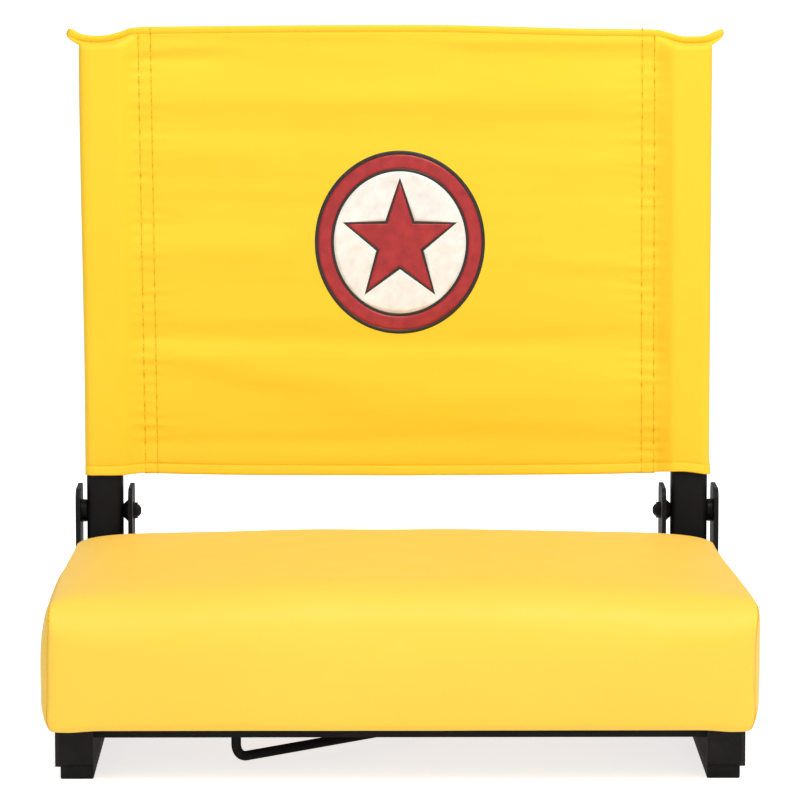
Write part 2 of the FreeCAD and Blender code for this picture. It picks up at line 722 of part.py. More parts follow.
def hook_rod():
    """Bent rod: an upright leg, one bend, and a level leg that grips under a plank."""
    body = new_body("HookRod")
    path = new_sketch(body, "XZ_Plane", "HookPath")
    drop = number("hook_top_z - hook_leg_z")
    bend = number("hook_bend")
    leg = number("hook_leg")
    down = Part.LineSegment(FreeCAD.Vector(0, 0, 0), FreeCAD.Vector(0, bend - drop, 0))
    centre = FreeCAD.Vector(bend, bend - drop, 0)
    quarter = Part.Circle(centre, FreeCAD.Vector(0, 0, 1), bend)
    curve = Part.ArcOfCircle(quarter, math.pi, 1.5 * math.pi)
    level = Part.LineSegment(FreeCAD.Vector(bend, -drop, 0), FreeCAD.Vector(leg, -drop, 0))
    for piece in (down, curve, level):
        path.addGeometry(piece, False)
    rules = [Sketcher.Constraint("Coincident", 0, 1, -1, 1),
             Sketcher.Constraint("Vertical", 0), Sketcher.Constraint("Horizontal", 2),
             Sketcher.Constraint("Tangent", 0, 2, 1, 1),
             Sketcher.Constraint("Tangent", 1, 2, 2, 1)]
    for rule in rules:
        path.addConstraint(rule)
    place_rule(path, Sketcher.Constraint("Radius", 1, bend), "hook_bend")
    place_rule(path, Sketcher.Constraint("DistanceY", 2, 1, -1, 1, drop), "hook_top_z - hook_leg_z")
    place_rule(path, Sketcher.Constraint("DistanceX", -1, 1, 2, 2, leg), "hook_leg")
    section = new_sketch(body, "XY_Plane", "HookSection")
    draw_circle(section, "0", "0", "hook_radius")
    doc.recompute()
    pipe = body.newObject("PartDesign::AdditivePipe", "HookPipe")
    pipe.Profile = section
    pipe.Spine = (path, ["Edge1", "Edge2", "Edge3"])
    doc.recompute()
    tip = number("hook_leg")
    fillet(body, lambda edge: edge.CenterOfMass.x > tip - 1e-3 and edge.Closed,
           "hook_round")
    turn(body, (0, 0, 1), SIZES["hook_angle"])
    body.setExpression("Placement.Rotation.Angle", full("hook_angle") + " * 1 deg")
    place(body, "hook_x", "hook_y", "hook_top_z")
    keep(body, "hook_rod")


def hook_clip():
    """Push-on clip at the top of the rod, which rests on the slider."""
    body = ring_body("HookClip", "clip_radius", "hook_radius", "clip_thick")
    place(body, "hook_x", "hook_y", "hook_top_z - clip_thick - clip_gap")
    keep(body, "hook_clip")


def hook_slider():
    """Collar that the rod turns in, and that the spring lifts."""
    body = ring_body("HookSlider", "guide_radius - guide_wall - guide_slack",
                     "hook_radius + guide_slack", "slider_thick")
    place(body, "hook_x", "hook_y", "hook_top_z - clip_thick - slider_thick - clip_gap")
    keep(body, "hook_slider")


def hook_guide():
    """Steel guide tube through the front bar and board, closed at the top."""
    body = new_body("HookGuide")
    outside = new_sketch(body, "XY_Plane", "GuideOutside")
    draw_circle(outside, "0", "0", "guide_radius")
    height = "guide_top_z - ( rail_bottom_z + rail_height - bar_height )"
    pad(body, outside, height)
    inside = new_sketch(body, "XY_Plane", "GuideInside")
    draw_circle(inside, "0", "0", "guide_radius - guide_wall")
    pocket(body, inside, f"{height} - guide_wall", reverse=True)
    place(body, "hook_x", "hook_y", "rail_bottom_z + rail_height - bar_height")
    keep(body, "hook_guide_tube")


def hook_bush():
    """Nylon bush pressed into the mouth of the guide tube."""
    body = ring_body("HookBush", "guide_radius - guide_wall", "hook_radius + guide_slack",
                     "guide_bush")
    place(body, "hook_x", "hook_y", "rail_bottom_z + rail_height - bar_height")
    keep(body, "hook_guide_bush")


def wire_section(radius, wire, tilt):
    """Eight-sided outline of the spring wire, square to the coil."""
    corners = []
    for index in range(WIRE_SIDES):
        angle = 2 * math.pi * (index + 0.5) / WIRE_SIDES
        out = wire * math.cos(angle)
        up = wire * math.sin(angle)
        corners.append(FreeCAD.Vector(radius + out, -up * math.sin(tilt), up * math.cos(tilt)))
    return Part.makePolygon(corners + corners[:1])


def hook_spring():
    """Compression spring between the bush and the slider."""
    bottom = number("rail_bottom_z + rail_height - bar_height + guide_bush")
    top = number("hook_top_z - clip_thick - slider_thick - clip_gap")
    wire = number("spring_wire")
    radius = number("spring_radius")
    height = top - bottom - 2 * wire - 2 * number("spring_slack")
    pitch = height / number("spring_turns")
    tilt = math.atan2(pitch, 2 * math.pi * radius)
    helix = Part.Wire(Part.makeHelix(pitch, height, radius))
    coil = helix.makePipeShell([wire_section(radius, wire, tilt)], True, True)
    spring = doc.addObject("Part::Feature", "HookSpring")
    spring.Shape = coil
    foot = bottom + wire + number("spring_slack")
    spring.Placement.Base = FreeCAD.Vector(number("hook_x"), number("hook_y"), foot)
    keep(spring, "hook_spring")


# ---------------------------------------------------------------- build

def check_document():
    """Stop if any object failed or any sub-part is empty or broken."""
    for item in doc.Objects:
        if {"Invalid", "Error"} & set(item.State):
            raise RuntimeError(f"{item.Name} failed: {item.State}")
    for part in subparts:
        if part.Shape.isNull() or not part.Shape.isValid() or not part.Shape.Solids:
            raise RuntimeError(f"{part.Label} has no valid solid")


def write_parts():
    """Write each sub-part to its own STEP file."""
    os.makedirs("parts", exist_ok=True)
    for part in subparts:
        part.Shape.exportStep(f"parts/{part.Label}.step")


seat_cover()
seat_foam()
seat_board()
cross_bar("FrontBar", "front_crossbar", "front_bar_y", hook_hole=True)
cross_bar("RearBar", "rear_crossbar", "rear_bar_y", hook_hole=False)
board_screws()
side_rail()
skid()
rail_caps()
hinge_bracket()
stop_blocks()
pivot_bolts()
spacers()
pivot_nuts()
pivot_bushes()
upright()
tube_plugs("TopPlug", "upright_top_plugs", "tube_top_z", head_below=False)
tube_plugs("BottomPlug", "upright_bottom_plugs", "tube_low_z", head_below=True)
back_sling()
hook_rod()
hook_clip()
hook_slider()
hook_guide()
hook_bush()
hook_spring()
doc.recompute()
check_document()
write_parts()
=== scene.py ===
"""Looks for the folding stadium seat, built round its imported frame.

Frame: X across the seat (+X to the sitter's left), Y from front to back,
Z up. Shapes are worked out in millimetres and become metres in make_mesh().
"""
import json
import math

import bmesh
import bpy
import numpy as np
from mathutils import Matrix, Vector, noise


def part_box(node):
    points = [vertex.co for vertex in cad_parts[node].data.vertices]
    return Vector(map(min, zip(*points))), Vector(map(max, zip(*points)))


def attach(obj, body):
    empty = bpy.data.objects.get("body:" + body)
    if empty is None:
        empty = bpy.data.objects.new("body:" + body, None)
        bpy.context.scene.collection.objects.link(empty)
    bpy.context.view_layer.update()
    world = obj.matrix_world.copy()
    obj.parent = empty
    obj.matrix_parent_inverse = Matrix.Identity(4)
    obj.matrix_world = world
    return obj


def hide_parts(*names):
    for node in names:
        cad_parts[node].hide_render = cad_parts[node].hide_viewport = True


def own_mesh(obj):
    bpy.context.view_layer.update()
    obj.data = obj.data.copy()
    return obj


MM = 0.001

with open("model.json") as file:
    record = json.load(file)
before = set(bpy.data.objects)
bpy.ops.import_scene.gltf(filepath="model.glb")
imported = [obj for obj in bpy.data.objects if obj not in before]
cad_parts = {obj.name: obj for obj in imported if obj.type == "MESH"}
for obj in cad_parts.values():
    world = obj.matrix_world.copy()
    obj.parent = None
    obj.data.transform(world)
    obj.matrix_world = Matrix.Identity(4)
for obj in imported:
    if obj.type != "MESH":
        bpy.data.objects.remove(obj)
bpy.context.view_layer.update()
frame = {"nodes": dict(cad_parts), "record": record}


# ---------------------------------------------------------------- numbers

def smoothstep(low, high, value):
    """0 below low, 1 above high, and a smooth rise between."""
    share = np.clip((np.asarray(value, float) - low) / (high - low), 0, 1)
    return share * share * (3 - 2 * share)


def ease(low, high, value):
    """smoothstep() for one plain number."""
    share = min(1.0, max(0.0, (value - low) / (high - low)))
    return share * share * (3 - 2 * share)


def soft_noise(x, y, z=0.0):
    """Smooth repeatable noise, about -1 to 1."""
    return noise.noise(Vector((x, y, z)))


def through(points, count):
    """Smooth curve through 2-D points, sampled evenly along its length."""
    points = np.asarray(points, float)
    ends = np.vstack([2 * points[0] - points[1], points, 2 * points[-1] - points[-2]])
    curve = []
    for index in range(1, len(ends) - 2):
        before, start, end, after = ends[index - 1:index + 3]
        for t in np.linspace(0, 1, 24, endpoint=False):
            curve.append(0.5 * (2 * start + (end - before) * t
                                + (2 * before - 5 * start + 4 * end - after) * t ** 2
                                + (3 * start - before - 3 * end + after) * t ** 3))
    curve.append(points[-1])
    return evenly(np.array(curve), count)


def travelled(line):
    """Distance along a polyline to each of its points."""
    return np.concatenate([[0], np.cumsum(np.linalg.norm(np.diff(line, axis=0), axis=1))])


def evenly(line, count):
    """A polyline resampled to count points, evenly along its length."""
    length = travelled(line)
    where = np.linspace(0, length[-1], count)
    return np.stack([np.interp(where, length, line[:, k]) for k in range(line.shape[1])], axis=1)


# ---------------------------------------------------------------- meshes

def grid_faces(rows, columns, first=0, flip=False):
    """Quads of a grid whose points run row by row."""
    faces = []
    for row in range(rows - 1):
        for column in range(columns - 1):
            a = first + row * columns + column
            quad = (a, a + 1, a + columns + 1, a + columns)
            faces.append(quad[::-1] if flip else quad)
    return faces


def ring_faces(rings, count, first=0, flip=False):
    """Quads between closed rings of count points each."""
    faces = []
    for start in range(first, first + (rings - 1) * count, count):
        for index in range(count):
            a, b = start + index, start + (index + 1) % count
            quad = (a, b, b + count, a + count)
            faces.append(quad[:1] + quad[:0:-1] if flip else quad)
    return faces


def add_object(name, data):
    """New object in the scene."""
    made = bpy.data.objects.new(name, data)
    bpy.context.scene.collection.objects.link(made)
    return made


def from_bmesh(name, work):
    """New object from a bmesh, which is used up."""
    mesh = bpy.data.meshes.new(name)
    work.to_mesh(mesh)
    work.free()
    return add_object(name, mesh)


def make_mesh(name, points, faces, uvs=None, weld=None):
    """Object from points in millimetres; uvs, one for each point, are in millimetres too."""
    mesh = bpy.data.meshes.new(name)
    mesh.from_pydata((np.asarray(points, float) * MM).tolist(), [], faces)
    if uvs is not None:
        layer = mesh.uv_layers.new(name="Weave")
        corner = np.zeros(len(mesh.loops), int)
        mesh.loops.foreach_get("vertex_index", corner)
        layer.data.foreach_set("uv", (np.asarray(uvs, float)[corner] * MM).ravel())
    if weld:
        work = bmesh.new()
        work.from_mesh(mesh)
        bmesh.ops.remove_doubles(work, verts=work.verts, dist=weld * MM)
        work.to_mesh(mesh)
        work.free()
    mesh.polygons.foreach_set("use_smooth", [True] * len(mesh.polygons))
    mesh.update()
    return add_object(name, mesh)


def add_modifier(obj, name, kind, **settings):
    modifier = obj.modifiers.new(name, kind)
    for key, value in settings.items():
        setattr(modifier, key, value)
    return modifier


def apply_modifiers(obj):
    """Turn an object's modifiers into its mesh."""
    graph = bpy.context.evaluated_depsgraph_get()
    finished = bpy.data.meshes.new_from_object(obj.evaluated_get(graph))
    obj.modifiers.clear()
    obj.data = finished
    return obj


def points_of(obj):
    """An object's points as an array, in millimetres."""
    flat = np.zeros(len(obj.data.vertices) * 3)
    obj.data.vertices.foreach_get("co", flat)
    return flat.reshape(-1, 3) / MM


def set_points(obj, points):
    obj.data.vertices.foreach_set("co", (points * MM).ravel())
    obj.data.update()


# Sections of one stitch: share of its length, share of its radius and dip in radii.
STITCH_SECTIONS = ((-0.5, 0.6, -1.0), (-0.42, 1.25, -0.5), (-0.28, 1.0, -0.2), (0, 0.9, 0),
                   (0.28, 1.0, -0.2), (0.42, 1.25, -0.5), (0.5, 0.6, -1.0))
STITCH_SIDES = 6


def stitch_row(centres, directions, normals, length, radius):
    """Points, places along the stitch and faces of a row of stitches that dip in at both ends."""
    sides, sections = STITCH_SIDES, STITCH_SECTIONS
    points, places, faces = [], [], []
    for centre, direction, normal in zip(centres, directions, normals):
        along = direction / np.linalg.norm(direction)
        across = np.cross(along, normal)
        across /= np.linalg.norm(across)
        up = np.cross(across, along)
        first = len(points)
        for place, width, lift in sections:
            middle = centre + along * place * length + up * lift * radius
            for side in range(sides):
                angle = 2 * math.pi * side / sides
                spoke = math.cos(angle) * across + math.sin(angle) * up
                points.append(middle + radius * width * spoke)
                places.append((place / MM, side / MM))
        faces += ring_faces(len(sections), sides, first)
        faces.append(tuple(first + side for side in reversed(range(sides))))
        last = first + (len(sections) - 1) * sides
        faces.append(tuple(last + side for side in range(sides)))
    return points, places, faces


def stitches(name, rows):
    """One object for several stitch rows, each the arguments of stitch_row()."""
    points, places, faces = [], [], []
    for row in rows:
        more_points, more_places, more_faces = stitch_row(*row)
        faces += [tuple(index + len(points) for index in face) for face in more_faces]
        points += more_points
        places += more_places
    return make_mesh(name, points, faces, places)


# ---------------------------------------------------------------- materials

class Recipe:
    """A node material while it is put together."""

    def __init__(self, name):
        self.material = bpy.data.materials.new(name)
        self.material.use_nodes = True
        self.tree = self.material.node_tree
        self.shader = self.tree.nodes["Principled BSDF"]

    def node(self, kind, settings=None, **inputs):
        """New node; an input that is a socket is linked, anything else is its value."""
        made = self.tree.nodes.new("ShaderNode" + kind)
        for key, value in (settings or {}).items():
            setattr(made, key, value)
        for key, value in inputs.items():
            self.plug(made, key.replace("_", " "), value)
        return made

    def plug(self, node, key, value):
        socket = node.inputs[int(key)] if key.isdigit() else node.inputs[key]
        if isinstance(value, bpy.types.NodeSocket):
            self.tree.links.new(value, socket)
        else:
            socket.default_value = value

    def math(self, operation, *values):
        made = self.node("Math", {"operation": operation})
        for index, value in enumerate(values):
            self.plug(made, str(index), value)
        return made.outputs[0]

    def times(self, one, two):
        return self.math("MULTIPLY", one, two)

    def plus(self, one, two):
        return self.math("ADD", one, two)

    def place(self):
        """The point's place in the frame, in metres."""
        return self.node("TexCoord").outputs["Object"]

    def weave_place(self):
        """The point's place on the cloth, in metres."""
        uv = self.node("UVMap", {"uv_map": "Weave"}).outputs[0]
        return self.node("SeparateXYZ", Vector=uv).outputs

    def noise(self, scale, detail=3.0, roughness=0.5, vector=None):
        made = self.node("TexNoise", Scale=scale, Detail=detail, Roughness=roughness,
                         Vector=vector or self.place())
        return made.outputs["Fac"]

    def stretch(self, vector, scale):
        """A vector scaled differently along each axis."""
        return self.node("Mapping", Scale=scale, Vector=vector).outputs[0]

    def remap(self, value, low, high, new_low=0.0, new_high=1.0):
        made = self.node("MapRange", Value=value, From_Min=low, From_Max=high,
                         To_Min=new_low, To_Max=new_high)
        return made.outputs[0]

    def mix(self, share, one, two):
        """Colour between two colours."""
        made = self.node("Mix", {"data_type": "RGBA"})
        for index, value in ((0, share), (6, one), (7, two)):
            self.plug(made, str(index), value)
        return made.outputs[2]

    def bump(self, height, distance, strength=1.0, normal=None):
        made = self.node("Bump", Height=height, Distance=distance, Strength=strength)
        if normal is not None:
            self.plug(made, "Normal", normal)
        return made.outputs[0]

    def edges(self, radius):
        """1 along sharp edges and 0 elsewhere, with the rounded normal."""
        rounded = self.node("Bevel", {"samples": 6}, Radius=radius).outputs[0]
        flat = self.node("NewGeometry").outputs["Normal"]
        meeting = self.node("VectorMath", {"operation": "DOT_PRODUCT"})
        self.plug(meeting, "0", rounded)
        self.plug(meeting, "1", flat)
        return self.remap(meeting.outputs["Value"], 0.995, 0.9), rounded

    def done(self, **inputs):
        for key, value in inputs.items():
            self.plug(self.shader, key.replace("_", " "), value)
        return self.material


def colour(red, green, blue):
    """Linear colour from 0-255 display values."""
    def linear(value):
        value /= 255
        return value / 12.92 if value <= 0.04045 else ((value + 0.055) / 1.055) ** 2.4
    return (linear(red), linear(green), linear(blue), 1.0)


def woven_cloth(name, base, deep, roughness, sheen, thread=0.42):
    """Plain-woven coated polyester, with soft creases and slightly uneven dye."""
    made = Recipe(name)
    places = made.weave_place()
    turns = math.pi / (thread * MM)
    across = made.math("SINE", made.times(places[0], turns))
    along = made.math("SINE", made.times(places[1], turns))
    checks = made.times(across, along)
    threads = made.plus(made.times(made.math("ABSOLUTE", across), 0.5), made.times(checks, 0.5))
    slubs = made.noise(1100.0, 3.0, 0.6, made.stretch(made.place(), (0.5, 1.0, 1.0)))
    dye = made.noise(9.0, 4.0)
    creases = made.noise(70.0, 5.0, 0.6)
    share = made.plus(made.remap(dye, 0.3, 0.7, 0.0, 0.45), made.remap(slubs, 0.3, 0.7, 0.0, 0.35))
    tint = made.mix(share, base, deep)
    tint = made.mix(made.remap(checks, -1.0, 1.0, 0.10, 0.0), tint, deep)
    soft = made.bump(creases, 0.0007, 0.35)
    weave = made.bump(made.plus(threads, made.times(slubs, 0.6)), 0.00006, 0.6, soft)
    rough = made.remap(made.noise(40.0, 3.0), 0.3, 0.7, roughness - 0.05, roughness + 0.05)
    return made.done(Base_Color=tint, Roughness=rough, Normal=weave,
                     Sheen_Weight=sheen, Sheen_Roughness=0.5, Specular_IOR_Level=0.35)


def thread_cloth(name, base, deep):
    """Twisted sewing thread, with painted shade at each stitch's ends where it goes down into its
    needle holes.
    """
    made = Recipe(name)
    twist = made.node("TexWave", {"bands_direction": "DIAGONAL"}, Scale=1600.0, Distortion=1.5,
                      Vector=made.place())
    # Painted shade: the thread turns to the deeper colour towards both ends of each stitch, where it
    # goes down into the needle hole.
    hole_shade = made.remap(made.math("ABSOLUTE", made.weave_place()[0]), 0.2, 0.32)
    strands = made.times(twist.outputs["Fac"], 0.3)
    tint = made.mix(made.math("MAXIMUM", hole_shade, strands), base, deep)
    return made.done(Base_Color=tint, Roughness=0.6, Specular_IOR_Level=0.1,
                     Normal=made.bump(twist.outputs["Fac"], 0.0001, 0.7))


def coated_steel(name, base, worn, roughness, peel=0.00005):
    """Satin powder coat: orange peel, faint scuffs and edges rubbed lighter."""
    made = Recipe(name)
    edge, rounded = made.edges(0.0009)
    scuffs = made.noise(55.0, 8.0, 0.75, made.stretch(made.place(), (1.0, 1.0, 0.25)))
    wear = made.times(edge, made.remap(scuffs, 0.35, 0.7, 0.25, 1.0))
    dust = made.remap(made.noise(14.0, 6.0, 0.7), 0.35, 0.75, 0.0, 0.35)
    tint = made.mix(made.math("MAXIMUM", wear, dust), base, worn)
    rough = made.plus(made.remap(scuffs, 0.3, 0.75, roughness - 0.06, roughness + 0.10),
                      made.times(edge, -0.05))
    skin = made.bump(made.noise(1400.0, 3.0), peel, 0.5, rounded)
    return made.done(Base_Color=tint, Roughness=rough, Normal=skin, Specular_IOR_Level=0.10)


def moulded_plastic(name, base, worn, roughness, grain=1800.0, depth=0.00006):
    """Spark-eroded moulded plastic with paler rubbed edges."""
    made = Recipe(name)
    edge, rounded = made.edges(0.0007)
    cells = made.node("TexVoronoi", Scale=grain, Vector=made.place())
    blotch = made.noise(60.0, 5.0, 0.65)
    share = made.plus(made.times(edge, 0.8), made.remap(blotch, 0.4, 0.75, 0.0, 0.3))
    skin = made.bump(cells.outputs["Distance"], depth, 0.6, rounded)
    return made.done(Base_Color=made.mix(share, base, worn), Normal=skin,
                     Roughness=made.remap(blotch, 0.3, 0.7, roughness - 0.06, roughness + 0.06),
                     Specular_IOR_Level=0.14)


def plated_steel(name, base, dull, roughness):
    """Zinc plate with fine turning marks and a cloudy passivated film."""
    made = Recipe(name)
    film = made.noise(220.0, 6.0, 0.7)
    marks = made.noise(2600.0, 2.0, vector=made.stretch(made.place(), (1.0, 0.1, 1.0)))
    edge, rounded = made.edges(0.0004)
    tint = made.mix(made.remap(film, 0.35, 0.7), base, dull)
    rough = made.plus(made.remap(film, 0.3, 0.7, roughness, roughness + 0.15),
                      made.times(edge, -0.05))
    return made.done(Base_Color=tint, Metallic=1.0, Roughness=rough,
                     Normal=made.bump(marks, 0.00003, 0.5, rounded))


def foam_cells(name):
    """Open-cell foam, cream with a slightly yellowed skin, and painted shade in its cell hollows."""
    made = Recipe(name)
    cells = made.node("TexVoronoi", {"feature": "DISTANCE_TO_EDGE"}, Scale=900.0,
                      Vector=made.place())
    pore_depth_and_shade = made.remap(cells.outputs["Distance"], 0.0, 0.25)
    # Painted shade: the cell hollows are mixed towards the darker cream, and the same mask sinks
    # them in the bump.
    tint = made.mix(pore_depth_and_shade, colour(238, 226, 190), colour(214, 196, 150))
    tint = made.mix(made.remap(made.noise(12.0), 0.35, 0.7, 0.0, 0.5), tint, colour(226, 200, 140))
    return made.done(Base_Color=tint, Roughness=0.95, Sheen_Weight=0.2,
                     Normal=made.bump(pore_depth_and_shade, 0.0004, -0.8))


def plywood_grain(name):
    """Unfinished plywood: long grain along X, with plies showing at the edges."""
    made = Recipe(name)
    rings = made.node("TexWave", {"bands_direction": "Y"}, Scale=26.0, Distortion=7.0,
                      Detail=4.0, Detail_Scale=1.6,
                      Vector=made.stretch(made.place(), (0.06, 1.0, 0.4)))
    fibres = made.noise(1500.0, 4.0, 0.6, made.stretch(made.place(), (0.03, 1.0, 1.0)))
    tint = made.mix(rings.outputs["Fac"], colour(214, 178, 128), colour(176, 132, 84))
    plies = made.node("TexWave", {"bands_direction": "Z"}, Scale=150.0, Distortion=0.6,
                      Vector=made.place())
    level = made.node("SeparateXYZ", Vector=made.node("NewGeometry").outputs["Normal"])
    side = made.remap(made.math("ABSOLUTE", level.outputs[2]), 0.7, 0.3)
    tint = made.mix(made.times(side, plies.outputs["Fac"]), tint, colour(120, 84, 52))
    tint = made.mix(made.remap(fibres, 0.35, 0.7, 0.0, 0.5), tint, colour(150, 108, 66))
    return made.done(Base_Color=tint, Roughness=0.8, Normal=made.bump(fibres, 0.0002, 0.5))


def ribbed_rubber(name):
    """Matt black rubber with fine mould texture and a little grey bloom."""
    made = Recipe(name)
    bloom = made.remap(made.noise(30.0, 6.0, 0.7), 0.35, 0.75)
    grain = made.noise(2200.0, 3.0)
    edge, rounded = made.edges(0.0008)
    share = made.plus(made.times(bloom, 0.5), made.times(edge, 0.35))
    return made.done(Base_Color=made.mix(share, colour(20, 20, 21), colour(46, 45, 44)),
                     Roughness=made.remap(grain, 0.3, 0.7, 0.66, 0.82), Specular_IOR_Level=0.2,
                     Normal=made.bump(grain, 0.00008, 0.6, rounded))


def printed_ink(name, base, deep):
    """Heat-pressed print film that shows the weave below it."""
    made = Recipe(name)
    mottled = made.noise(120.0, 5.0, 0.6)
    weave = made.node("TexChecker", Scale=1200.0, Vector=made.place())
    return made.done(Base_Color=made.mix(made.remap(mottled, 0.35, 0.7), base, deep),
                     Roughness=made.remap(mottled, 0.3, 0.7, 0.42, 0.52),
                     Normal=made.bump(weave.outputs["Fac"], 0.00003, 0.4))


# How each material is made, and its numbers: colours, roughness and so on.
LOOKS = {
    "seat_fabric": (woven_cloth, (0.98, 0.630, 0.064, 1), (0.96, 0.585, 0.050, 1), 0.52, 0.10),
    "back_fabric": (woven_cloth, (0.99, 0.640, 0.026, 1), (0.97, 0.590, 0.017, 1), 0.56, 0.06),
    # Thread: the deeper colour is painted shade at the stitch ends by the needle holes, and also the
    # darker strands of the twist.
    "thread": (thread_cloth, (0.95, 0.56, 0.022, 1), (0.76, 0.42, 0.012, 1)),
    "foam": (foam_cells,),
    "plywood": (plywood_grain,),
    "black_steel": (coated_steel, colour(19, 20, 23), colour(47, 48, 52), 0.5),
    "black_bolt": (coated_steel, colour(14, 14, 15), colour(60, 60, 61), 0.36, 0.00002),
    "zinc_steel": (plated_steel, colour(190, 192, 190), colour(140, 143, 145), 0.28),
    "black_plastic": (moulded_plastic, colour(17, 17, 18), colour(50, 50, 51), 0.46),
    "black_rubber": (ribbed_rubber,),
    "print_black": (printed_ink, colour(26, 22, 22), colour(44, 38, 38)),
    "print_red": (printed_ink, colour(176, 38, 40), colour(150, 26, 30)),
    "print_white": (printed_ink, colour(244, 240, 236), colour(226, 222, 216)),
}
MATERIALS = {name: make(name, *numbers) for name, (make, *numbers) in LOOKS.items()}


def paint(obj, name):
    """Give an object one of the materials."""
    obj.data.materials.clear()
    obj.data.materials.append(MATERIALS[name])


def settle(piece, look, body, slot, *replaced):
    """Give a finished piece its material and body, and hide the CAD nodes it stands for; slot is not
    used.
    """
    paint(piece, look)
    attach(piece, body)
    if replaced:
        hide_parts(*replaced)
    return piece


def dress_frame():
    """Material for every CAD node, and eased edges on the big steel and plastic ones."""
    eased = {"black_steel", "black_plastic", "black_rubber", "plywood"}
    for entry in frame["record"]["subparts"]:
        node = frame["nodes"][entry["node"]]
        paint(node, entry["material_slot"])
        if entry["material_slot"] in eased:
            add_modifier(node, "Eased", "BEVEL", width=0.0005, segments=2, limit_method="ANGLE",
                         angle_limit=math.radians(40), harden_normals=True)


# ---------------------------------------------------------------- cushion

SEAM_X = 229.4
SEAM_TAPER = 3.0
SEAM_FALL = 7.0
HEM_TUCK_FRONT, HEM_TUCK_REAR = 7.5, 4.5
SEAM_BELLY = {-1: 2.3, 1: 1.5}
SEAM_SHOULDER = {-1: 1.9, 1: 0.6}
EDGE_POWER, EDGE_SHARP = 7, 0.2
CROWN, CROWN_SPREAD, CROWN_POWER = 4.5, 2.6, 3
SKEW_FRONT, SKEW_REAR = 1.4, 3.2
CORNER_DROOP = 1.3
# Where each of these comes and goes: start and end along x, y or z.
FALL_Y, HEM_RISE = (-150, 131), 15.0
TAPER_Y, TAPER_Z = (-160, 131), (42, 90)
BELLY_Z, SHOULDER_Y, SHOULDER_Z = (38, 55), (-175, 0), (98, 112)
TUCK_Y, CROWN_Z = (-178, -150), (60, 118)
SKEW_Y, SKEW_Z = (-170, 40), (80, 116)
NARROW_X, NARROW_Y, NARROW_Z = (120, 229), (-190, 131), (52, 108)
DROOP_X, DROOP_Y, DROOP_Z = (196, 214), (-172, -162), (36, 62)
CUSHION = {
    "middle": {"front": -183.6, "rear": 131.0, "low": 35.4, "high": 120.0,
               "front_round": 27.0, "rear_round": 20.0, "hem_round": 4.5},
    "seam": {"front": -178.6, "rear": 127.0, "low": 35.4, "high": 114.5,
             "front_round": 12.0, "rear_round": 16.0, "hem_round": 4.5},
}
HEM_STEPS, FACE_STEPS, HALF_ROUND_STEPS, TOP_STEPS = 4, 12, 5, 50
END_STEPS = HEM_STEPS + FACE_STEPS + HALF_ROUND_STEPS
LONG_STEPS = 2 * HALF_ROUND_STEPS + TOP_STEPS
SEAM_DISTANCES = (0, 0.7, 1.6, 2.9, 4.8, 7.5, 11, 15.5, 21)
INNER_COLUMNS = 32
SIDE_BULGE = {-1: 6.0, 1: 4.9}
BULGE_LONG, BULGE_HIGH = 6, 4
LIP_INSETS = (5.0, 10.0, 15.0, 20.0)
LIP_SETTLE = 12.0
# How near a point has to be to count as sewn to the seam or stapled to the board.
SEAM_REACH, LIP_REACH = 0.05, 0.3
CLOTH = {"quality": 6, "mass": 0.3, "tension_stiffness": 30, "compression_stiffness": 20,
         "shear_stiffness": 10, "bending_stiffness": 4, "use_pressure": True,
         "uniform_pressure_force": 3.0, "shrink_min": -0.006}
SWELL_FRAMES, SWELL_MOST = 20, 4.0
EVEN_ROUNDS = 24
LIP_Z = 35.3
COVER_THICK, COVER_WELD = 0.9, 0.01
FOAM_GAP = 1.4
FOAM_FLOOR = 47.2
CUT_BELOW = 5
SEAM_CENTRE_Z = 70.0
SEAM_PITCH, SEAM_STITCH, SEAM_THREAD, SEAM_PROUD = 3.4, 3.2, 0.32, 0.3


def arc(y, z, radius, start, end, steps):
    """Points along an arc in the side view, without its first one."""
    angles = np.radians(np.linspace(start, end, steps + 1)[1:])
    return [(y + radius * math.cos(a), z + radius * math.sin(a)) for a in angles]


def straight(start, end, steps):
    """Points along a line, without its first one."""
    first, reach = np.array(start), np.array(end) - start
    return [tuple(first + reach * k / steps) for k in range(1, steps + 1)]


def side_profile(front, rear, low, high, front_round, rear_round, hem_round):
    """Side view of the cushion from the front hem over the top to the rear hem."""
    line = [(front + hem_round, low)]
    line += arc(front + hem_round, low + hem_round, hem_round, 270, 180, HEM_STEPS)
    line += straight(line[-1], (front, high - front_round), FACE_STEPS)
    line += arc(front + front_round, high - front_round, front_round, 180, 90, 2 * HALF_ROUND_STEPS)
    line += straight(line[-1], (rear - rear_round, high), TOP_STEPS)
    line += arc(rear - rear_round, high - rear_round, rear_round, 90, 0, 2 * HALF_ROUND_STEPS)
    line += straight(line[-1], (rear, low + hem_round), FACE_STEPS)
    line += arc(rear - hem_round, low + hem_round, hem_round, 0, -90, HEM_STEPS)
    return np.array(line)


def seam_profile():
    """Side view of the seam, which falls a little towards the rear."""
    line = side_profile(**CUSHION["seam"])
    low = CUSHION["seam"]["low"]
    upper = np.clip((line[:, 1] - low) / (CUSHION["seam"]["high"] - low), 0, 1)
    back = smoothstep(*FALL_Y, line[:, 0])
    line[:, 1] -= SEAM_FALL * upper * back
    return line


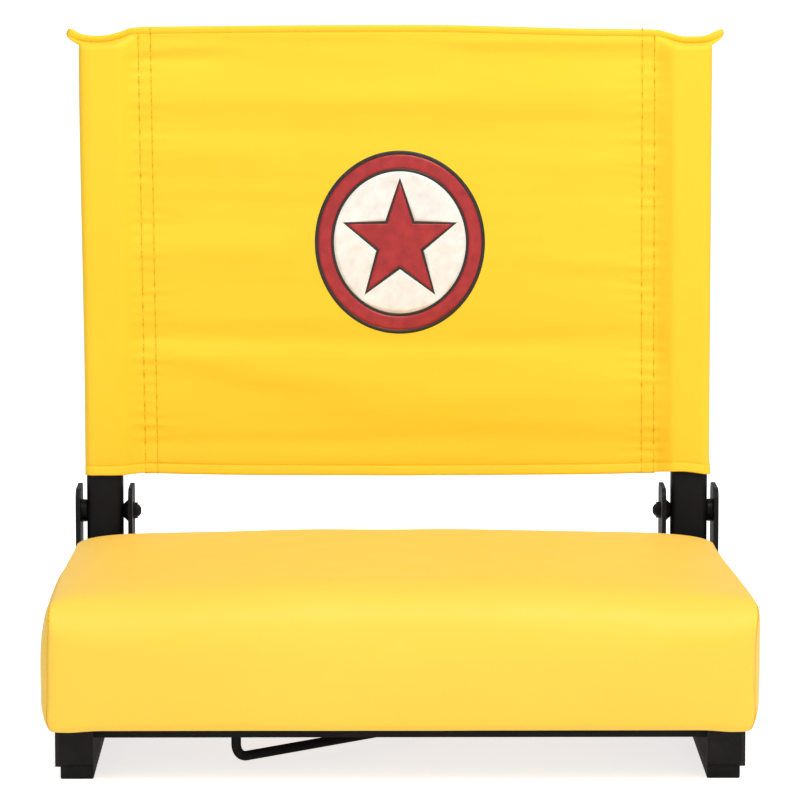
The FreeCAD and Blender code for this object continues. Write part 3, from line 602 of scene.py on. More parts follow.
def seam_place(profile, side):
    """How far out a side seam lies: it turns in at the bottom, in the belly and towards the rear."""
    y, z = profile[:, 0], profile[:, 1]
    rise = np.clip((z - CUSHION["seam"]["low"]) / HEM_RISE, 0, 1)
    back = np.clip((y - TAPER_Y[0]) / (TAPER_Y[1] - TAPER_Y[0]), 0, 1)
    taper = SEAM_TAPER * back * smoothstep(*TAPER_Z, z)
    shoulder = smoothstep(*SHOULDER_Z, z)
    belly = SEAM_BELLY[side] * smoothstep(*BELLY_Z, z) * (1 - shoulder)
    front = SEAM_SHOULDER[side] * shoulder * (1 - smoothstep(*SHOULDER_Y, y))
    tuck = HEM_TUCK_REAR + (HEM_TUCK_FRONT - HEM_TUCK_REAR) * (1 - smoothstep(*TUCK_Y, y))
    return SEAM_X - taper - belly - front - tuck * (1 - np.sqrt(1 - (1 - rise) ** 2))


def seam_line(side):
    """The seam of one side as points, on the positive side of the cushion."""
    seam = seam_profile()
    line = np.column_stack([seam_place(seam, side), seam])
    line[:, 2] = droop(line[:, 0], line[:, 1], line[:, 2])
    return line


def skew(points):
    """The cover sits a little askew: to the right at the front, and narrower at the right rear."""
    high = smoothstep(*SKEW_Z, points[:, 2])
    front = 1 - smoothstep(*SKEW_Y, points[:, 1])
    rear = smoothstep(*NARROW_Y, points[:, 1])
    right = smoothstep(*NARROW_X, points[:, 0]) * smoothstep(*NARROW_Z, points[:, 2])
    moved = points.copy()
    moved[:, 0] += SKEW_FRONT * high * front - SKEW_REAR * rear * right
    return moved


def droop(x, y, z):
    """The front corners hang a little below the board, in front of the rails."""
    outward = smoothstep(*DROOP_X, np.abs(x))
    forward = 1 - smoothstep(*DROOP_Y, y)
    lower = 1 - smoothstep(*DROOP_Z, z)
    return z - CORNER_DROOP * outward * forward * lower


def cushion_wrap():
    """Strip over the front, top and rear, as rows of points, with its weave places."""
    middle = side_profile(**CUSHION["middle"])
    seam = seam_profile()
    reach = {side: seam_place(seam, side) for side in (-1, 1)}
    near = 1 - np.array(SEAM_DISTANCES) / SEAM_X
    inner = np.linspace(near[-1], 0, INNER_COLUMNS)[1:]
    half = np.concatenate([near, inner])
    shares = np.concatenate([-half, half[::-1][1:]])
    travel = travelled(middle)
    points, places = [], []
    for row in range(len(middle)):
        for share in shares:
            swell = max(0.0, 1 - abs(share) ** EDGE_POWER) ** EDGE_SHARP
            y, z = seam[row] + (middle[row] - seam[row]) * swell
            crown = CROWN * (1 - abs(share) ** CROWN_SPREAD) ** CROWN_POWER
            z += crown * ease(*CROWN_Z, middle[row][1])
            x = share * reach[-1 if share < 0 else 1][row]
            points.append((x, y, droop(x, y, z)))
            places.append((x, travel[row]))
    return np.array(points), np.array(places), len(middle), len(shares)


def cushion_side(sign):
    """Side panel of the cushion: a patch filled in from its four edges, and bulged."""
    edge = seam_line(sign)
    front = edge[:END_STEPS + 1]
    top = edge[END_STEPS:END_STEPS + LONG_STEPS + 1]
    rear = edge[END_STEPS + LONG_STEPS:][::-1]
    along = travelled(top) / travelled(top)[-1]
    low = front[0] + (rear[0] - front[0]) * along[:, None]
    low[:, 2] = droop(low[:, 0], low[:, 1], np.full(len(low), CUSHION["seam"]["low"]))
    points, places = [], []
    for level in range(END_STEPS + 1):
        up = (front[level][2] - front[0][2]) / (front[-1][2] - front[0][2])
        for index, share in enumerate(along):
            filled = ((1 - up) * low[index] + up * top[index]
                      + (1 - share) * front[level] + share * rear[level]
                      - (1 - up) * ((1 - share) * front[0] + share * rear[0])
                      - up * ((1 - share) * front[-1] + share * rear[-1]))
            bulge = (SIDE_BULGE[sign] * math.sqrt(max(0, 1 - abs(2 * share - 1) ** BULGE_LONG))
                     * math.sqrt(max(0, 1 - abs(2 * up - 1) ** BULGE_HIGH)))
            x = sign * (filled[0] + bulge)
            points.append((x, filled[1], filled[2]))
            places.append((filled[1], filled[2]))
    return np.array(points), np.array(places), END_STEPS + 1, LONG_STEPS + 1


def cover_lip(wrap, wrap_columns, sides):
    """Lip turned in under the board: rings inside the cover's lower edge."""
    front = wrap[:wrap_columns]
    rear = wrap[-wrap_columns:]
    right = sides[1][:LONG_STEPS + 1]
    left = sides[-1][:LONG_STEPS + 1]
    loop = np.vstack([front, right[1:-1], rear[::-1], left[::-1][1:-1]])
    middle_y = (front[0][1] + rear[0][1]) / 2
    half_x = np.abs(loop[:, 0]).max()
    half_y = np.abs(loop[:, 1] - middle_y).max()
    rings = [loop]
    for inset in LIP_INSETS:
        ring = loop.copy()
        ring[:, 0] *= 1 - inset / half_x
        ring[:, 1] = middle_y + (loop[:, 1] - middle_y) * (1 - inset / half_y)
        settle = ease(0, LIP_SETTLE, inset)
        ring[:, 2] = loop[:, 2] * (1 - settle) + LIP_Z * settle
        rings.append(ring)
    return np.vstack(rings), len(loop)


def cushion_shell():
    """Cover as one sheet, with the numbers of the points that stay sewn or stapled."""
    wrap, wrap_places, rows, columns = cushion_wrap()
    points, places, faces = [wrap], [wrap_places], grid_faces(rows, columns)
    count = len(wrap)
    sides = {}
    for sign in (1, -1):
        sides[sign], side_places, side_rows, side_columns = cushion_side(sign)
        faces += grid_faces(side_rows, side_columns, count, flip=sign < 0)
        points.append(sides[sign])
        places.append(side_places)
        count += len(side_places)
    lip, ring = cover_lip(wrap, columns, sides)
    faces += ring_faces(len(LIP_INSETS) + 1, ring, count, flip=True)
    points.append(lip)
    places.append(lip[:, :2])
    return make_mesh("seat_cover_padded", skew(np.vstack(points)), faces, np.vstack(places),
                     weld=COVER_WELD)


def is_sewn(points):
    """True for cover points on a side seam or on the stapled lip."""
    nearest = np.full(len(points), 1e9)
    both = [skew(seam_line(side) * np.array([side, 1, 1])) for side in (-1, 1)]
    for place in np.vstack(both):
        nearest = np.minimum(nearest, np.linalg.norm(points - place, axis=1))
    return (nearest < SEAM_REACH) | (points[:, 2] < CUSHION["seam"]["low"] + LIP_REACH)


def even_out(obj, moved, free):
    """Average each free point's movement with its neighbours', a few times over."""
    ends = np.array([edge.vertices[:] for edge in obj.data.edges])
    count = np.bincount(ends.ravel(), minlength=len(moved))[:, None]
    for _ in range(EVEN_ROUNDS):
        total = np.zeros_like(moved)
        np.add.at(total, ends[:, 0], moved[ends[:, 1]])
        np.add.at(total, ends[:, 1], moved[ends[:, 0]])
        moved = np.where(free[:, None], (moved + total / count) / 2, moved)
    return moved


def inflate(obj, sewn):
    """Cloth simulation that swells a cover between its sewn points, with capped movement."""
    group = obj.vertex_groups.new(name="Sewn")
    group.add([int(index) for index in np.flatnonzero(sewn)], 1.0, "REPLACE")
    start = points_of(obj)
    cloth = obj.modifiers.new("Swell", "CLOTH")
    cloth.settings.vertex_group_mass = "Sewn"
    for key, value in CLOTH.items():
        setattr(cloth.settings, key, value)
    cloth.settings.effector_weights.gravity = 0
    cloth.point_cache.frame_start = 1
    cloth.point_cache.frame_end = SWELL_FRAMES
    for step in range(1, SWELL_FRAMES + 1):
        bpy.context.scene.frame_set(step)
    apply_modifiers(obj)
    bpy.context.scene.frame_set(1)
    moved = even_out(obj, points_of(obj) - start, ~sewn)
    length = np.linalg.norm(moved, axis=1, keepdims=True)
    set_points(obj, start + moved * SWELL_MOST / (SWELL_MOST + length))
    obj.vertex_groups.clear()


def make_cushion():
    """Padded cover, with its foam inside and the thread in its side seams."""
    cover = cushion_shell()
    inflate(cover, is_sewn(points_of(cover)))
    foam = make_foam(cover)
    add_modifier(cover, "Cloth", "SOLIDIFY", thickness=COVER_THICK * MM, offset=-1.0)
    add_modifier(cover, "Smooth", "SUBSURF", levels=1, render_levels=1)
    settle(cover, "seat_fabric", "seat_base", "seat_fabric", "seat_cover")
    for piece in (cover, foam, seam_thread()):
        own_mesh(piece)
    return cover


def make_foam(cover):
    """Foam that fills the cover down to the board, with a hole over the hook's guide."""
    work = bmesh.new()
    work.from_mesh(cover.data)
    work.normal_update()
    inward = [vertex.normal * (COVER_THICK + FOAM_GAP) * MM for vertex in work.verts]
    for vertex, step in zip(work.verts, inward):
        vertex.co -= step
    everything = work.verts[:] + work.edges[:] + work.faces[:]
    bmesh.ops.bisect_plane(work, geom=everything, plane_co=(0, 0, FOAM_FLOOR * MM),
                           plane_no=(0, 0, 1), clear_inner=True)
    bmesh.ops.smooth_vert(work, verts=[v for v in work.verts if not v.is_boundary], factor=0.5,
                          use_axis_x=True, use_axis_y=True, use_axis_z=True)
    rim = [edge for edge in work.edges if edge.is_boundary]
    bmesh.ops.holes_fill(work, edges=rim)
    bmesh.ops.recalc_face_normals(work, faces=work.faces)
    foam = from_bmesh("seat_foam_block", work)
    drill_foam(foam)
    return settle(foam, "foam", "seat_base", "foam", "seat_foam")


def drill_foam(foam):
    """Blind hole in the foam, round the hook's guide tube."""
    low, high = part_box("hook_guide_tube")
    centre = (low + high) / 2
    work = bmesh.new()
    radius = (high.x - low.x) / 2 + MM
    foot = (FOAM_FLOOR - CUT_BELOW) * MM
    depth = high.z + MM - foot
    bmesh.ops.create_cone(work, cap_ends=True, segments=32, radius1=radius, radius2=radius,
                          depth=depth)
    bmesh.ops.translate(work, verts=work.verts, vec=(centre.x, centre.y, foot + depth / 2))
    cutter = from_bmesh("GuideCutter", work)
    add_modifier(foam, "Hole", "BOOLEAN", operation="DIFFERENCE", object=cutter, solver="EXACT")
    bpy.context.view_layer.update()
    apply_modifiers(foam)
    bpy.data.objects.remove(cutter)


def seam_thread():
    """Short stitches that show in the groove of both side seams."""
    rows = []
    for sign in (1, -1):
        edge = seam_line(sign)
        centre = np.array([0, edge[:, 1].mean(), SEAM_CENTRE_Z])
        count = int(travelled(edge)[-1] / SEAM_PITCH)
        line = skew(evenly(edge, count) * np.array([sign, 1, 1]))
        directions = np.gradient(line, axis=0)
        outward = np.zeros_like(line)
        outward[:, 0] = sign
        away = line - centre
        away[:, 0] = 0
        outward += away / np.linalg.norm(away, axis=1, keepdims=True)
        outward /= np.linalg.norm(outward, axis=1, keepdims=True)
        rows.append((line + SEAM_PROUD * outward, directions, outward, SEAM_STITCH, SEAM_THREAD))
    return settle(stitches("seat_seam_thread", rows), "thread", "seat_base", "seat_fabric")


# ---------------------------------------------------------------- back sling

PANEL_Y = 157.4
LAYER = 1.15
CLOTH_THICK = 0.7
BACK_LOW = 156.6
HEM_DEEP = 6.5
HEM_GROOVE = 0.4
HEM_ROLL = 0.8
LIFT_REACH = 45
TOP_HEM_DEEP = 4.6
HEM_FOLD, HEM_BACK = 0.35, 0.9
HEM_SHARES = (0.3, 0.65, 1.0)
SLEEVE_STEPS = 54
# Section of the sleeve: x and y on its front and rear, and x from its outer face round the side.
SLEEVE_FRONT = ((192.2, 150.2), (194.6, 148.9), (198, 148.7), (216, 148.7))
SLEEVE_OUTER = ((-2.6, 149.6), (-0.5, 152.2), (0, 156), (0, 164), (-0.5, 167.8), (-2.6, 170.4))
SLEEVE_REAR = ((216, 171.3), (198, 171.3), (194.6, 170.9), (192.2, 169.4))
SLOPE_FRONT, SLOPE_REAR = (2, -0.6), (3, 1.2)
# X of the outer stitch row at the bottom and the top, and of the sleeve's outer face: first
# and last value, and the heights between which it changes.
SEAM_TOP = 472
SEAM_COLUMNS = {-1: (178.4, 182.0), 1: (182.2, 181.1)}
SLEEVE_FACE = {-1: (220.6, 223.0, (200, 450)), 1: (221.8, 220.9, (157, 172))}
SLEEVE_MIDDLE_Y = 160.0
FLAT_FRONT_Y, FLAT_REAR_Y, FLAT_BLEND = 159.3, 160.7, (0, 14)
FLAT_HALF = 52.5
OPEN_TO_Z = 455.0
HEM_LINE = 467.9
HEM_TAIL = 11.0
TAIL_POINTS = 5
CLOSING_LIFTS = (0.12, 0.24, 0.36, 0.48, 0.58, 0.68, 0.77, 0.85, 0.91, 0.96)
LIP_HIGH = 4.2
LIP_PRESS = ((0.0, 0.4), (0.15, -0.15), (0.4, -0.45), (0.7, -0.65), (0.9, -0.55), (1.0, -0.1))
LIP_TOP = {
    -1: [(183, 472.3), (188, 471.4), (193.5, 469.2), (199, 467.6), (204.7, 466.5), (210.3, 466.2),
         (216, 466.4), (221.6, 467.4), (225, 469.1), (228, 470.7), (230.4, 471.2)],
    1: [(183, 470.6), (186, 469.7), (191.7, 468.0), (198.7, 466.0), (205.7, 465.5), (212.8, 465.7),
        (218.4, 466.7), (222.6, 468.7), (226.4, 470.4), (228.8, 470.4)],
}
LIP_SEAM = {
    -1: [(183, 467.9), (188, 467.0), (193.5, 464.9), (199, 463.2), (204.7, 462.0), (210.3, 461.7),
         (216, 461.9), (221, 462.6), (225.5, 463.8), (229, 465.4), (231.9, 467.6)],
    1: [(183, 466.2), (186, 465.4), (191.7, 463.7), (198.7, 461.6), (205.7, 461.0), (212.8, 461.1),
        (218.4, 461.8), (222.6, 463.2), (226.4, 465.2), (229.2, 467.6)],
}
FOLD_PATH = {
    -1: [(0, 223.0, 455.0), (0.6, 223.1, 461.8), (0.68, 225.0, 462.5), (0.8, 228.9, 463.8),
         (0.9, 231.2, 465.4), (1.0, 231.9, 467.6)],
    1: [(0, 220.9, 455.0), (0.58, 221.0, 461.6), (0.68, 222.8, 462.4), (0.8, 226.1, 463.7),
        (0.9, 228.4, 465.4), (1.0, 229.2, 467.6)],
}
BOTTOM_LIFT = [(-224, 0), (-196, 0), (-185, 0.6), (-172, 1.0), (-150, 0.6), (-100, 0.1), (0, -0.4),
               (80, 0), (150, 0.4), (180, 0.9), (192, 2.2), (200, 2.7), (208, 2.1), (215, 1.0),
               (221, -0.2)]
PUCKER_X, PUCKER_WIDE, PUCKER_PITCH, PUCKER_HIGH = 178, 16.0, 8.2, 0.5
RIGHT_TURN, LOW_SAG = 1.5, 3.0
# How far the panel's ripples run onto a sleeve, and how uneven the sleeve is.
RIPPLE_REACH, SLEEVE_WANDER = 7.0, 0.25
# Powers that shape how the sleeve closes above the tube, and where its outer fold starts.
CLOSE_BEND, CLOSE_DRAW, FOLD_FROM = 5, 2, 38
EDGE_RISE, EDGE_FALL = 1.3, 1.9
EDGE_HALF, EDGE_FALL_X = 183, (20, 140)
LOW_ROWS, ROW_STEP = (0, 0.8, 2.0, 3.6, 5.2, 5.9, 6.5, 7.1, 7.8, 9.2), 1.75
LOW_TOP, LEVEL_ROW = 11, 10
NEAR_COLUMNS, PANEL_HALF, WIDE_COLUMNS = (0, 2.2, 4.4, 6.6, 8.8, 11, 14, 17.5, 21.5, 26), 180, 34
# Where the ripples fade out, where the right edge turns, and where the bottom sags.
FADE_LOW, FADE_HIGH = (BACK_LOW + 4, BACK_LOW + 16), (461, 467)
TURN_X, SAG_Z, SAG_X = (171, 182), (BACK_LOW, 235), (120, 176)
# Soft noise: height, width and height of its bumps, and a seed.
SLACK = ((1.0, 190, 24, 0.3), (0.4, 80, 11, 5.2))
DRIFT, EDGE_DRIFT = ((5, 60, 45, 3.1),), ((2, 15, 12, 6.4),)
PULLS = ((0.9, 30, 18, 9.0),)
PULL_MEAN = 0.6
TABLE_HALF, FOLD_FADE = 200, 25
# Long folds: line as x and z, width at each of its points, steepness, and where it starts and ends.
FOLDS = (
    ([(-165, 243), (-86, 227), (0, 212), (165, 211)], (8, 15, 22, 20), 0.15, (-190, 200)),
    ([(-165, 254), (0, 251), (165, 249)], (9, 10, 11), -0.15, (-200, 200)),
    ([(-165, 178), (0, 180), (165, 179)], (9, 9, 9), -0.12, (-200, 200)),
    ([(-165, 428), (0, 424), (165, 421)], (13, 12, 13), 0.15, (-200, 200)),
    ([(-170, 458), (-115, 459.5)], (4, 4), 0.32, (-190, -130)),
    ([(-170, 450), (-115, 451)], (6, 6), -0.20, (-190, -120)),
    ([(0, 466), (165, 466)], (9, 9), 0.14, (30, 200)),
    ([(0, 453), (165, 451)], (8, 8), -0.12, (30, 200)),
    ([(-175, 317), (-60, 315)], (12, 12), 0.13, (-200, -80)),
    ([(90, 308), (175, 305)], (8, 7), 0.14, (110, 200)),
    ([(-175, 389), (-60, 383)], (10, 12), 0.11, (-200, -90)),
    ([(90, 372), (175, 376)], (10, 9), 0.11, (100, 200)),
)


def seam_column(side, z):
    """How far out the outer stitch row runs at a height; the two sides differ slightly."""
    low, high = SEAM_COLUMNS[side]
    return low + (high - low) * (z - BACK_LOW) / (SEAM_TOP - BACK_LOW)


def sleeve_side(side, z):
    """Outer face of the sleeve: tight on the tube at the bottom, looser at the top."""
    first, last, heights = SLEEVE_FACE[side]
    return first + (last - first) * ease(*heights, z)


def bottom_lift(x):
    """How far the bottom edge stands above its lowest line."""
    table = np.array(BOTTOM_LIFT)
    around = [np.interp(x + step, table[:, 0], table[:, 1]) for step in (-5, -2.5, 0, 2.5, 5)]
    return float(np.mean(around))


def open_sleeve(side, z):
    """Section round the upright: front slope, front, outer side, back, back slope."""
    out = sleeve_side(side, z)
    start = seam_column(side, z)
    rear = PANEL_Y + LAYER
    corners = [(start, PANEL_Y), (start + SLOPE_FRONT[0], PANEL_Y + SLOPE_FRONT[1]), *SLEEVE_FRONT,
               *((out + x, y) for x, y in SLEEVE_OUTER), *SLEEVE_REAR,
               (start + SLOPE_REAR[0], rear + SLOPE_REAR[1]), (start, rear)]
    return evenly(np.array(corners, float), SLEEVE_STEPS + 1)


def flat_sleeve(side):
    """Section where the sleeve is sewn flat: seam line and top edge, as x, y and z."""
    half = SLEEVE_STEPS // 2
    seam = through(LIP_SEAM[side], half + 1)
    top = through(LIP_TOP[side], half + 1)
    share = np.linspace(0, FLAT_HALF, half + 1)
    blend = smoothstep(*FLAT_BLEND, share)
    fronts = PANEL_Y + (FLAT_FRONT_Y - PANEL_Y) * blend
    backs = PANEL_Y + LAYER + (FLAT_REAR_Y - PANEL_Y - LAYER) * blend
    fronts[-1] = backs[-1] = SLEEVE_MIDDLE_Y
    rings = []
    for line in (seam, top):
        front = np.column_stack([line[:, 0], fronts, line[:, 1]])
        back = np.column_stack([line[:, 0], backs, line[:, 1]])
        rings.append(np.vstack([front, back[::-1][1:]]))
    return rings


def fold_path(side, share):
    """Outer fold above the tube, as x and z."""
    table = np.array(FOLD_PATH[side])
    return np.array([side * np.interp(share, table[:, 0], table[:, 1]),
                     np.interp(share, table[:, 0], table[:, 2])])


def fold_table():
    """Ridge height, width and line of every long fold, for each millimetre across the back."""
    x = np.arange(-TABLE_HALF, TABLE_HALF + 1)
    table = []
    for path, widths, steep, (start, end) in FOLDS:
        places = [point[0] for point in path]
        line = np.interp(x, places, [point[1] for point in path])
        width = np.interp(x, places, widths)
        fade = (smoothstep(start - FOLD_FADE, start + FOLD_FADE, x)
                * (1 - smoothstep(end - FOLD_FADE, end + FOLD_FADE, x)))
        table.append((steep * fade * width, width, line))
    return np.array(table).transpose(1, 2, 0)


def long_folds(x, z):
    """How far the long folds together stand forward at a place."""
    place = min(max(x + TABLE_HALF, 0), 2 * TABLE_HALF - 1)
    index = int(place)
    rise = FOLD_HEIGHT[index + 1] - FOLD_HEIGHT[index]
    height = FOLD_HEIGHT[index] + rise * (place - index)
    return float(np.sum(height * np.exp(-((z - FOLD_LINE[index]) / FOLD_WIDTH[index]) ** 2)))


def bumps(kinds, x, z):
    """Sum of soft noises at a place."""
    return sum(high * soft_noise(x / wide, z / tall, seed) for high, wide, tall, seed in kinds)


def ripple(x, z):
    """How far the panel stands forward at a place, from long folds, puckers and slack."""
    edge = abs(x)
    near = math.exp(-((edge - PUCKER_X) / PUCKER_WIDE) ** 2)
    drift = bumps(DRIFT, x, z) + bumps(EDGE_DRIFT, edge, z)
    pulls = math.sin((z + drift) * 2 * math.pi / PUCKER_PITCH) * (PULL_MEAN + bumps(PULLS, x, z))
    fade = ease(*FADE_LOW, z) * (1 - ease(*FADE_HIGH, z))
    turn = RIGHT_TURN * ease(*TURN_X, x)
    sag = LOW_SAG * (1 - ease(*SAG_Z, z)) * (1 - ease(*SAG_X, edge))
    return (PUCKER_HIGH * near * pulls + bumps(SLACK, x, z) + long_folds(x, z)) * fade + turn + sag


FOLD_HEIGHT, FOLD_WIDTH, FOLD_LINE = fold_table()


def panel_front(x, z):
    """Y of the middle of the panel's cloth."""
    return PANEL_Y - ripple(x, z)


def panel_columns():
    """Places across the panel, as shares from the left stitch row to the right one."""
    middle = np.linspace(NEAR_COLUMNS[-1], PANEL_HALF, WIDE_COLUMNS)[1:]
    half = np.concatenate([NEAR_COLUMNS, middle]) / PANEL_HALF
    return np.concatenate([half - 1, (1 - half)[::-1][1:]])


def body_rows():
    """Heights of the rows, as shares from the bottom edge to the seam line."""
    middle = np.arange(LOW_TOP, OPEN_TO_Z - BACK_LOW, ROW_STEP)
    return np.concatenate([LOW_ROWS, middle]) / (OPEN_TO_Z - BACK_LOW)


def sling_grid():
    """Every point of the sling, rows from the bottom edge up, columns from left to right."""
    shares = panel_columns()
    rings = {side: flat_sleeve(side) for side in (-1, 1)}
    seams = {side: ring[0] for side, ring in rings.items()}
    tops = {side: ring[1] for side, ring in rings.items()}
    rows = []
    for share in body_rows():
        z = BACK_LOW + (OPEN_TO_Z - BACK_LOW) * share
        row = sling_row(z, shares)
        near = 1 - ease(0, LIFT_REACH, z - BACK_LOW)
        row[:, 2] += near * np.array([bottom_lift(x) for x in row[:, 0]])
        rows.append(pressed(row, low_hem_press(z)))
    last = rows[-1]
    for lift in CLOSING_LIFTS:
        rows.append(closing_row(last, seams, shares, lift))
    seam_row = closing_row(last, seams, shares, 1.0)
    for lift, press in LIP_PRESS:
        rows.append(pressed(lip_row(seam_row, tops, shares, lift), press))
    return np.array(rows)


def low_hem_press(z):
    """How far the bottom hem is pressed in: its stitches sink and the turned edge stands out."""
    groove = HEM_GROOVE * math.exp(-((z - BACK_LOW - HEM_DEEP) / 0.6) ** 2)
    return groove - HEM_ROLL * (1 - ease(0.5, HEM_DEEP, z - BACK_LOW))


def pressed(row, amount):
    """A row with its front and back pushed together, as stitches do; negative puffs it up."""
    moved = row.copy()
    moved[:, 1] -= amount * np.sign(np.round(row[:, 1] - SLEEVE_MIDDLE_Y, 3))
    return moved


def tail_points(side, z):
    """End of the sleeve's cloth, sewn flat on the back of the panel."""
    start = seam_column(side, z)
    return [(side * x, panel_front(side * x, z) + LAYER, z)
            for x in np.linspace(start - HEM_TAIL, start, TAIL_POINTS + 1)[:-1]]


def sling_row(z, shares):
    """One row where the sleeves are open round the uprights."""
    left, right = seam_column(-1, z), seam_column(1, z)
    panel = []
    for share in shares:
        x = share * (left if share < 0 else right)
        panel.append((x, panel_front(x, z), z))
    sides = {}
    for side in (-1, 1):
        section = open_sleeve(side, z)
        ring = []
        for index, (x, y) in enumerate(section):
            away = x - section[0][0]
            follow = math.exp(-(away / RIPPLE_REACH) ** 2)
            wander = SLEEVE_WANDER * soft_noise(side * x / 14, y / 9, z / 45) * (1 - follow)
            ring.append((side * x, y - ripple(side * section[0][0], z) * follow + wander, z))
        sides[side] = ring
    left_part = tail_points(-1, z) + sides[-1][::-1][:-1]
    right_part = sides[1][1:] + tail_points(1, z)[::-1]
    return np.array(left_part + panel + right_part)


def split_row(shares):
    """Where the left sleeve, the panel, the right sleeve and the right tail start in a row."""
    left_end = TAIL_POINTS + SLEEVE_STEPS
    right_start = left_end + len(shares)
    return TAIL_POINTS, left_end, right_start, right_start + SLEEVE_STEPS


def sleeve_parts(shares):
    """Side and slice of each sleeve in a row."""
    tail, left_end, right_start, right_end = split_row(shares)
    return (-1, slice(tail, left_end)), (1, slice(right_start, right_end))


def flat_indices(row, shares):
    """Numbers of a row's points on the panel and on the tails sewn to its back."""
    tail, left_end, right_start, right_end = split_row(shares)
    return [*range(left_end, right_start), *range(tail), *range(right_end, len(row))]


def ring_to_row(ring, side):
    """Sleeve ring in the order that a row uses on one side, without its panel end."""
    placed = ring * np.array([side, 1, 1])
    return placed[::-1][:-1] if side < 0 else placed[1:]


def closing_row(last, seams, shares, lift):
    """A row between the top of the tubes and the flat seam line."""
    row = last.copy()
    half = SLEEVE_STEPS // 2
    bend = lift ** CLOSE_BEND
    for side, part in sleeve_parts(shares):
        start = last[part]
        goal = ring_to_row(seams[side], side)
        moved = start.copy()
        moved[:, 0] = start[:, 0] + (goal[:, 0] - start[:, 0]) * lift ** CLOSE_DRAW
        moved[:, 1] = start[:, 1] + (goal[:, 1] - start[:, 1]) * bend
        moved[:, 2] = start[:, 2] + (goal[:, 2] - start[:, 2]) * lift
        order = np.arange(SLEEVE_STEPS, 0, -1) if side < 0 else np.arange(1, SLEEVE_STEPS + 1)
        flat_place = FLAT_HALF * (1 - np.abs(order - half) / half)
        weight = smoothstep(FOLD_FROM, FLAT_HALF, flat_place)
        fold = int(np.argmax(flat_place))
        shift = fold_path(side, lift) - moved[fold][[0, 2]]
        moved[:, 0] += weight * shift[0]
        moved[:, 2] += weight * shift[1]
        row[part] = moved
    tail, _, _, right_end = split_row(shares)
    for index in flat_indices(row, shares):
        x = last[index][0]
        behind = LAYER if index < tail or index >= right_end else 0.0
        z = OPEN_TO_Z + (HEM_LINE + edge_lift(x) - OPEN_TO_Z) * lift
        row[index] = (x, panel_front(x, z) + behind, z)
    return row


def edge_lift(x):
    """The top edge is highest in the middle and runs down a little to the right."""
    middle = EDGE_RISE * math.cos(min(1.0, abs(x) / EDGE_HALF) * math.pi / 2)
    return middle - EDGE_FALL * ease(*EDGE_FALL_X, x)


def lip_row(seam_row, tops, shares, lift):
    """A row of the lip above the seam line."""
    row = seam_row.copy()
    for side, part in sleeve_parts(shares):
        goal = ring_to_row(tops[side], side)
        row[part] = seam_row[part] + (goal - seam_row[part]) * lift
    for index in flat_indices(row, shares):
        row[index, 2] = seam_row[index][2] + LIP_HIGH * lift
    return row


def hem_rows(grid, part, edge, deep, drop):
    """Rows of cloth turned over to the back and sewn down, beyond one edge of the grid."""
    base = grid[edge][part]
    direction = -1 if drop else 1
    turned = []
    fold = HEM_FOLD * direction
    for along, back in ((fold, HEM_FOLD), (fold, HEM_BACK), (0, LAYER)):
        turned.append(base + np.array([0, back, along]))
    for share in HEM_SHARES:
        z = base[:, 2] - direction * deep * share
        y = np.array([panel_front(x, level) for x, level in zip(base[:, 0], z)]) + LAYER
        turned.append(np.column_stack([base[:, 0], y, z]))
    return turned


def make_sling():
    """The whole back: one sheet that wraps both uprights, with hems and a closed top."""
    grid = sling_grid()
    rows, columns, _ = grid.shape
    shares = panel_columns()
    tail, left_end, right_start, _ = split_row(shares)
    travel_x = travelled(grid[LEVEL_ROW])
    points = [grid.reshape(-1, 3)]
    places = [np.column_stack([np.tile(travel_x, rows), grid[:, :, 2].ravel()])]
    faces = grid_faces(rows, columns)
    count = rows * columns
    top = (rows - 1) * columns
    half = SLEEVE_STEPS // 2
    for start in (tail, right_start - 1):
        for step in range(half - 1):
            a, b = top + start + step, top + start + SLEEVE_STEPS - step
            faces.append((a, a + 1, b - 1, b))
        middle = top + start + half
        faces.append((middle - 1, middle, middle + 1))
    panel = slice(left_end, right_start)
    for edge, drop in ((0, True), (rows - 1, False)):
        turned = hem_rows(grid, panel, edge, HEM_DEEP if drop else TOP_HEM_DEEP, drop)
        width = right_start - left_end
        first = edge * columns + left_end
        previous = list(range(first, first + width))
        for line in turned:
            current = list(range(count, count + width))
            points.append(line)
            places.append(np.column_stack([travel_x[panel], line[:, 2]]))
            for index in range(width - 1):
                quad = (previous[index], previous[index + 1], current[index + 1], current[index])
                faces.append(quad[::-1] if drop else quad)
            previous = current
            count += width
    sling = make_mesh("back_sling_sewn", np.vstack(points), faces, np.vstack(places))
    add_modifier(sling, "Cloth", "SOLIDIFY", thickness=CLOTH_THICK * MM, offset=0.0)
    return settle(sling, "back_fabric", "backrest", "back_fabric", "back_sling")


# Below this height only the bottom hem is pressed; share of the lip where its press begins.
FRONT_MIDDLE, LIP_FROM = 300, -0.15


def front_place(x, z):
    """A point on the front face of the panel's cloth."""
    press = low_hem_press(z - bottom_lift(x)) if z < FRONT_MIDDLE else 0.0
    lift = (z - HEM_LINE - edge_lift(x)) / LIP_HIGH
    if lift > LIP_FROM:
        lifts, presses = zip((LIP_FROM, 0.0), *LIP_PRESS)
        press = float(np.interp(lift, lifts, presses))
    return np.array([x, panel_front(x, z) + press - CLOTH_THICK / 2, z])


# Distance in from the outer column, and pitch, of each stitch row beside a sleeve.
STITCH_COLUMNS = ((0.4, 4.4), (9.0, 4.2))
COLUMN_FOOT, COLUMN_TOP, COLUMN_THREAD = 2.5, 471, 0.4
HEM_STITCH_HALF, HEM_PITCH, HEM_STITCH, HEM_THREAD = 172, 3.4, 3.3, 0.2


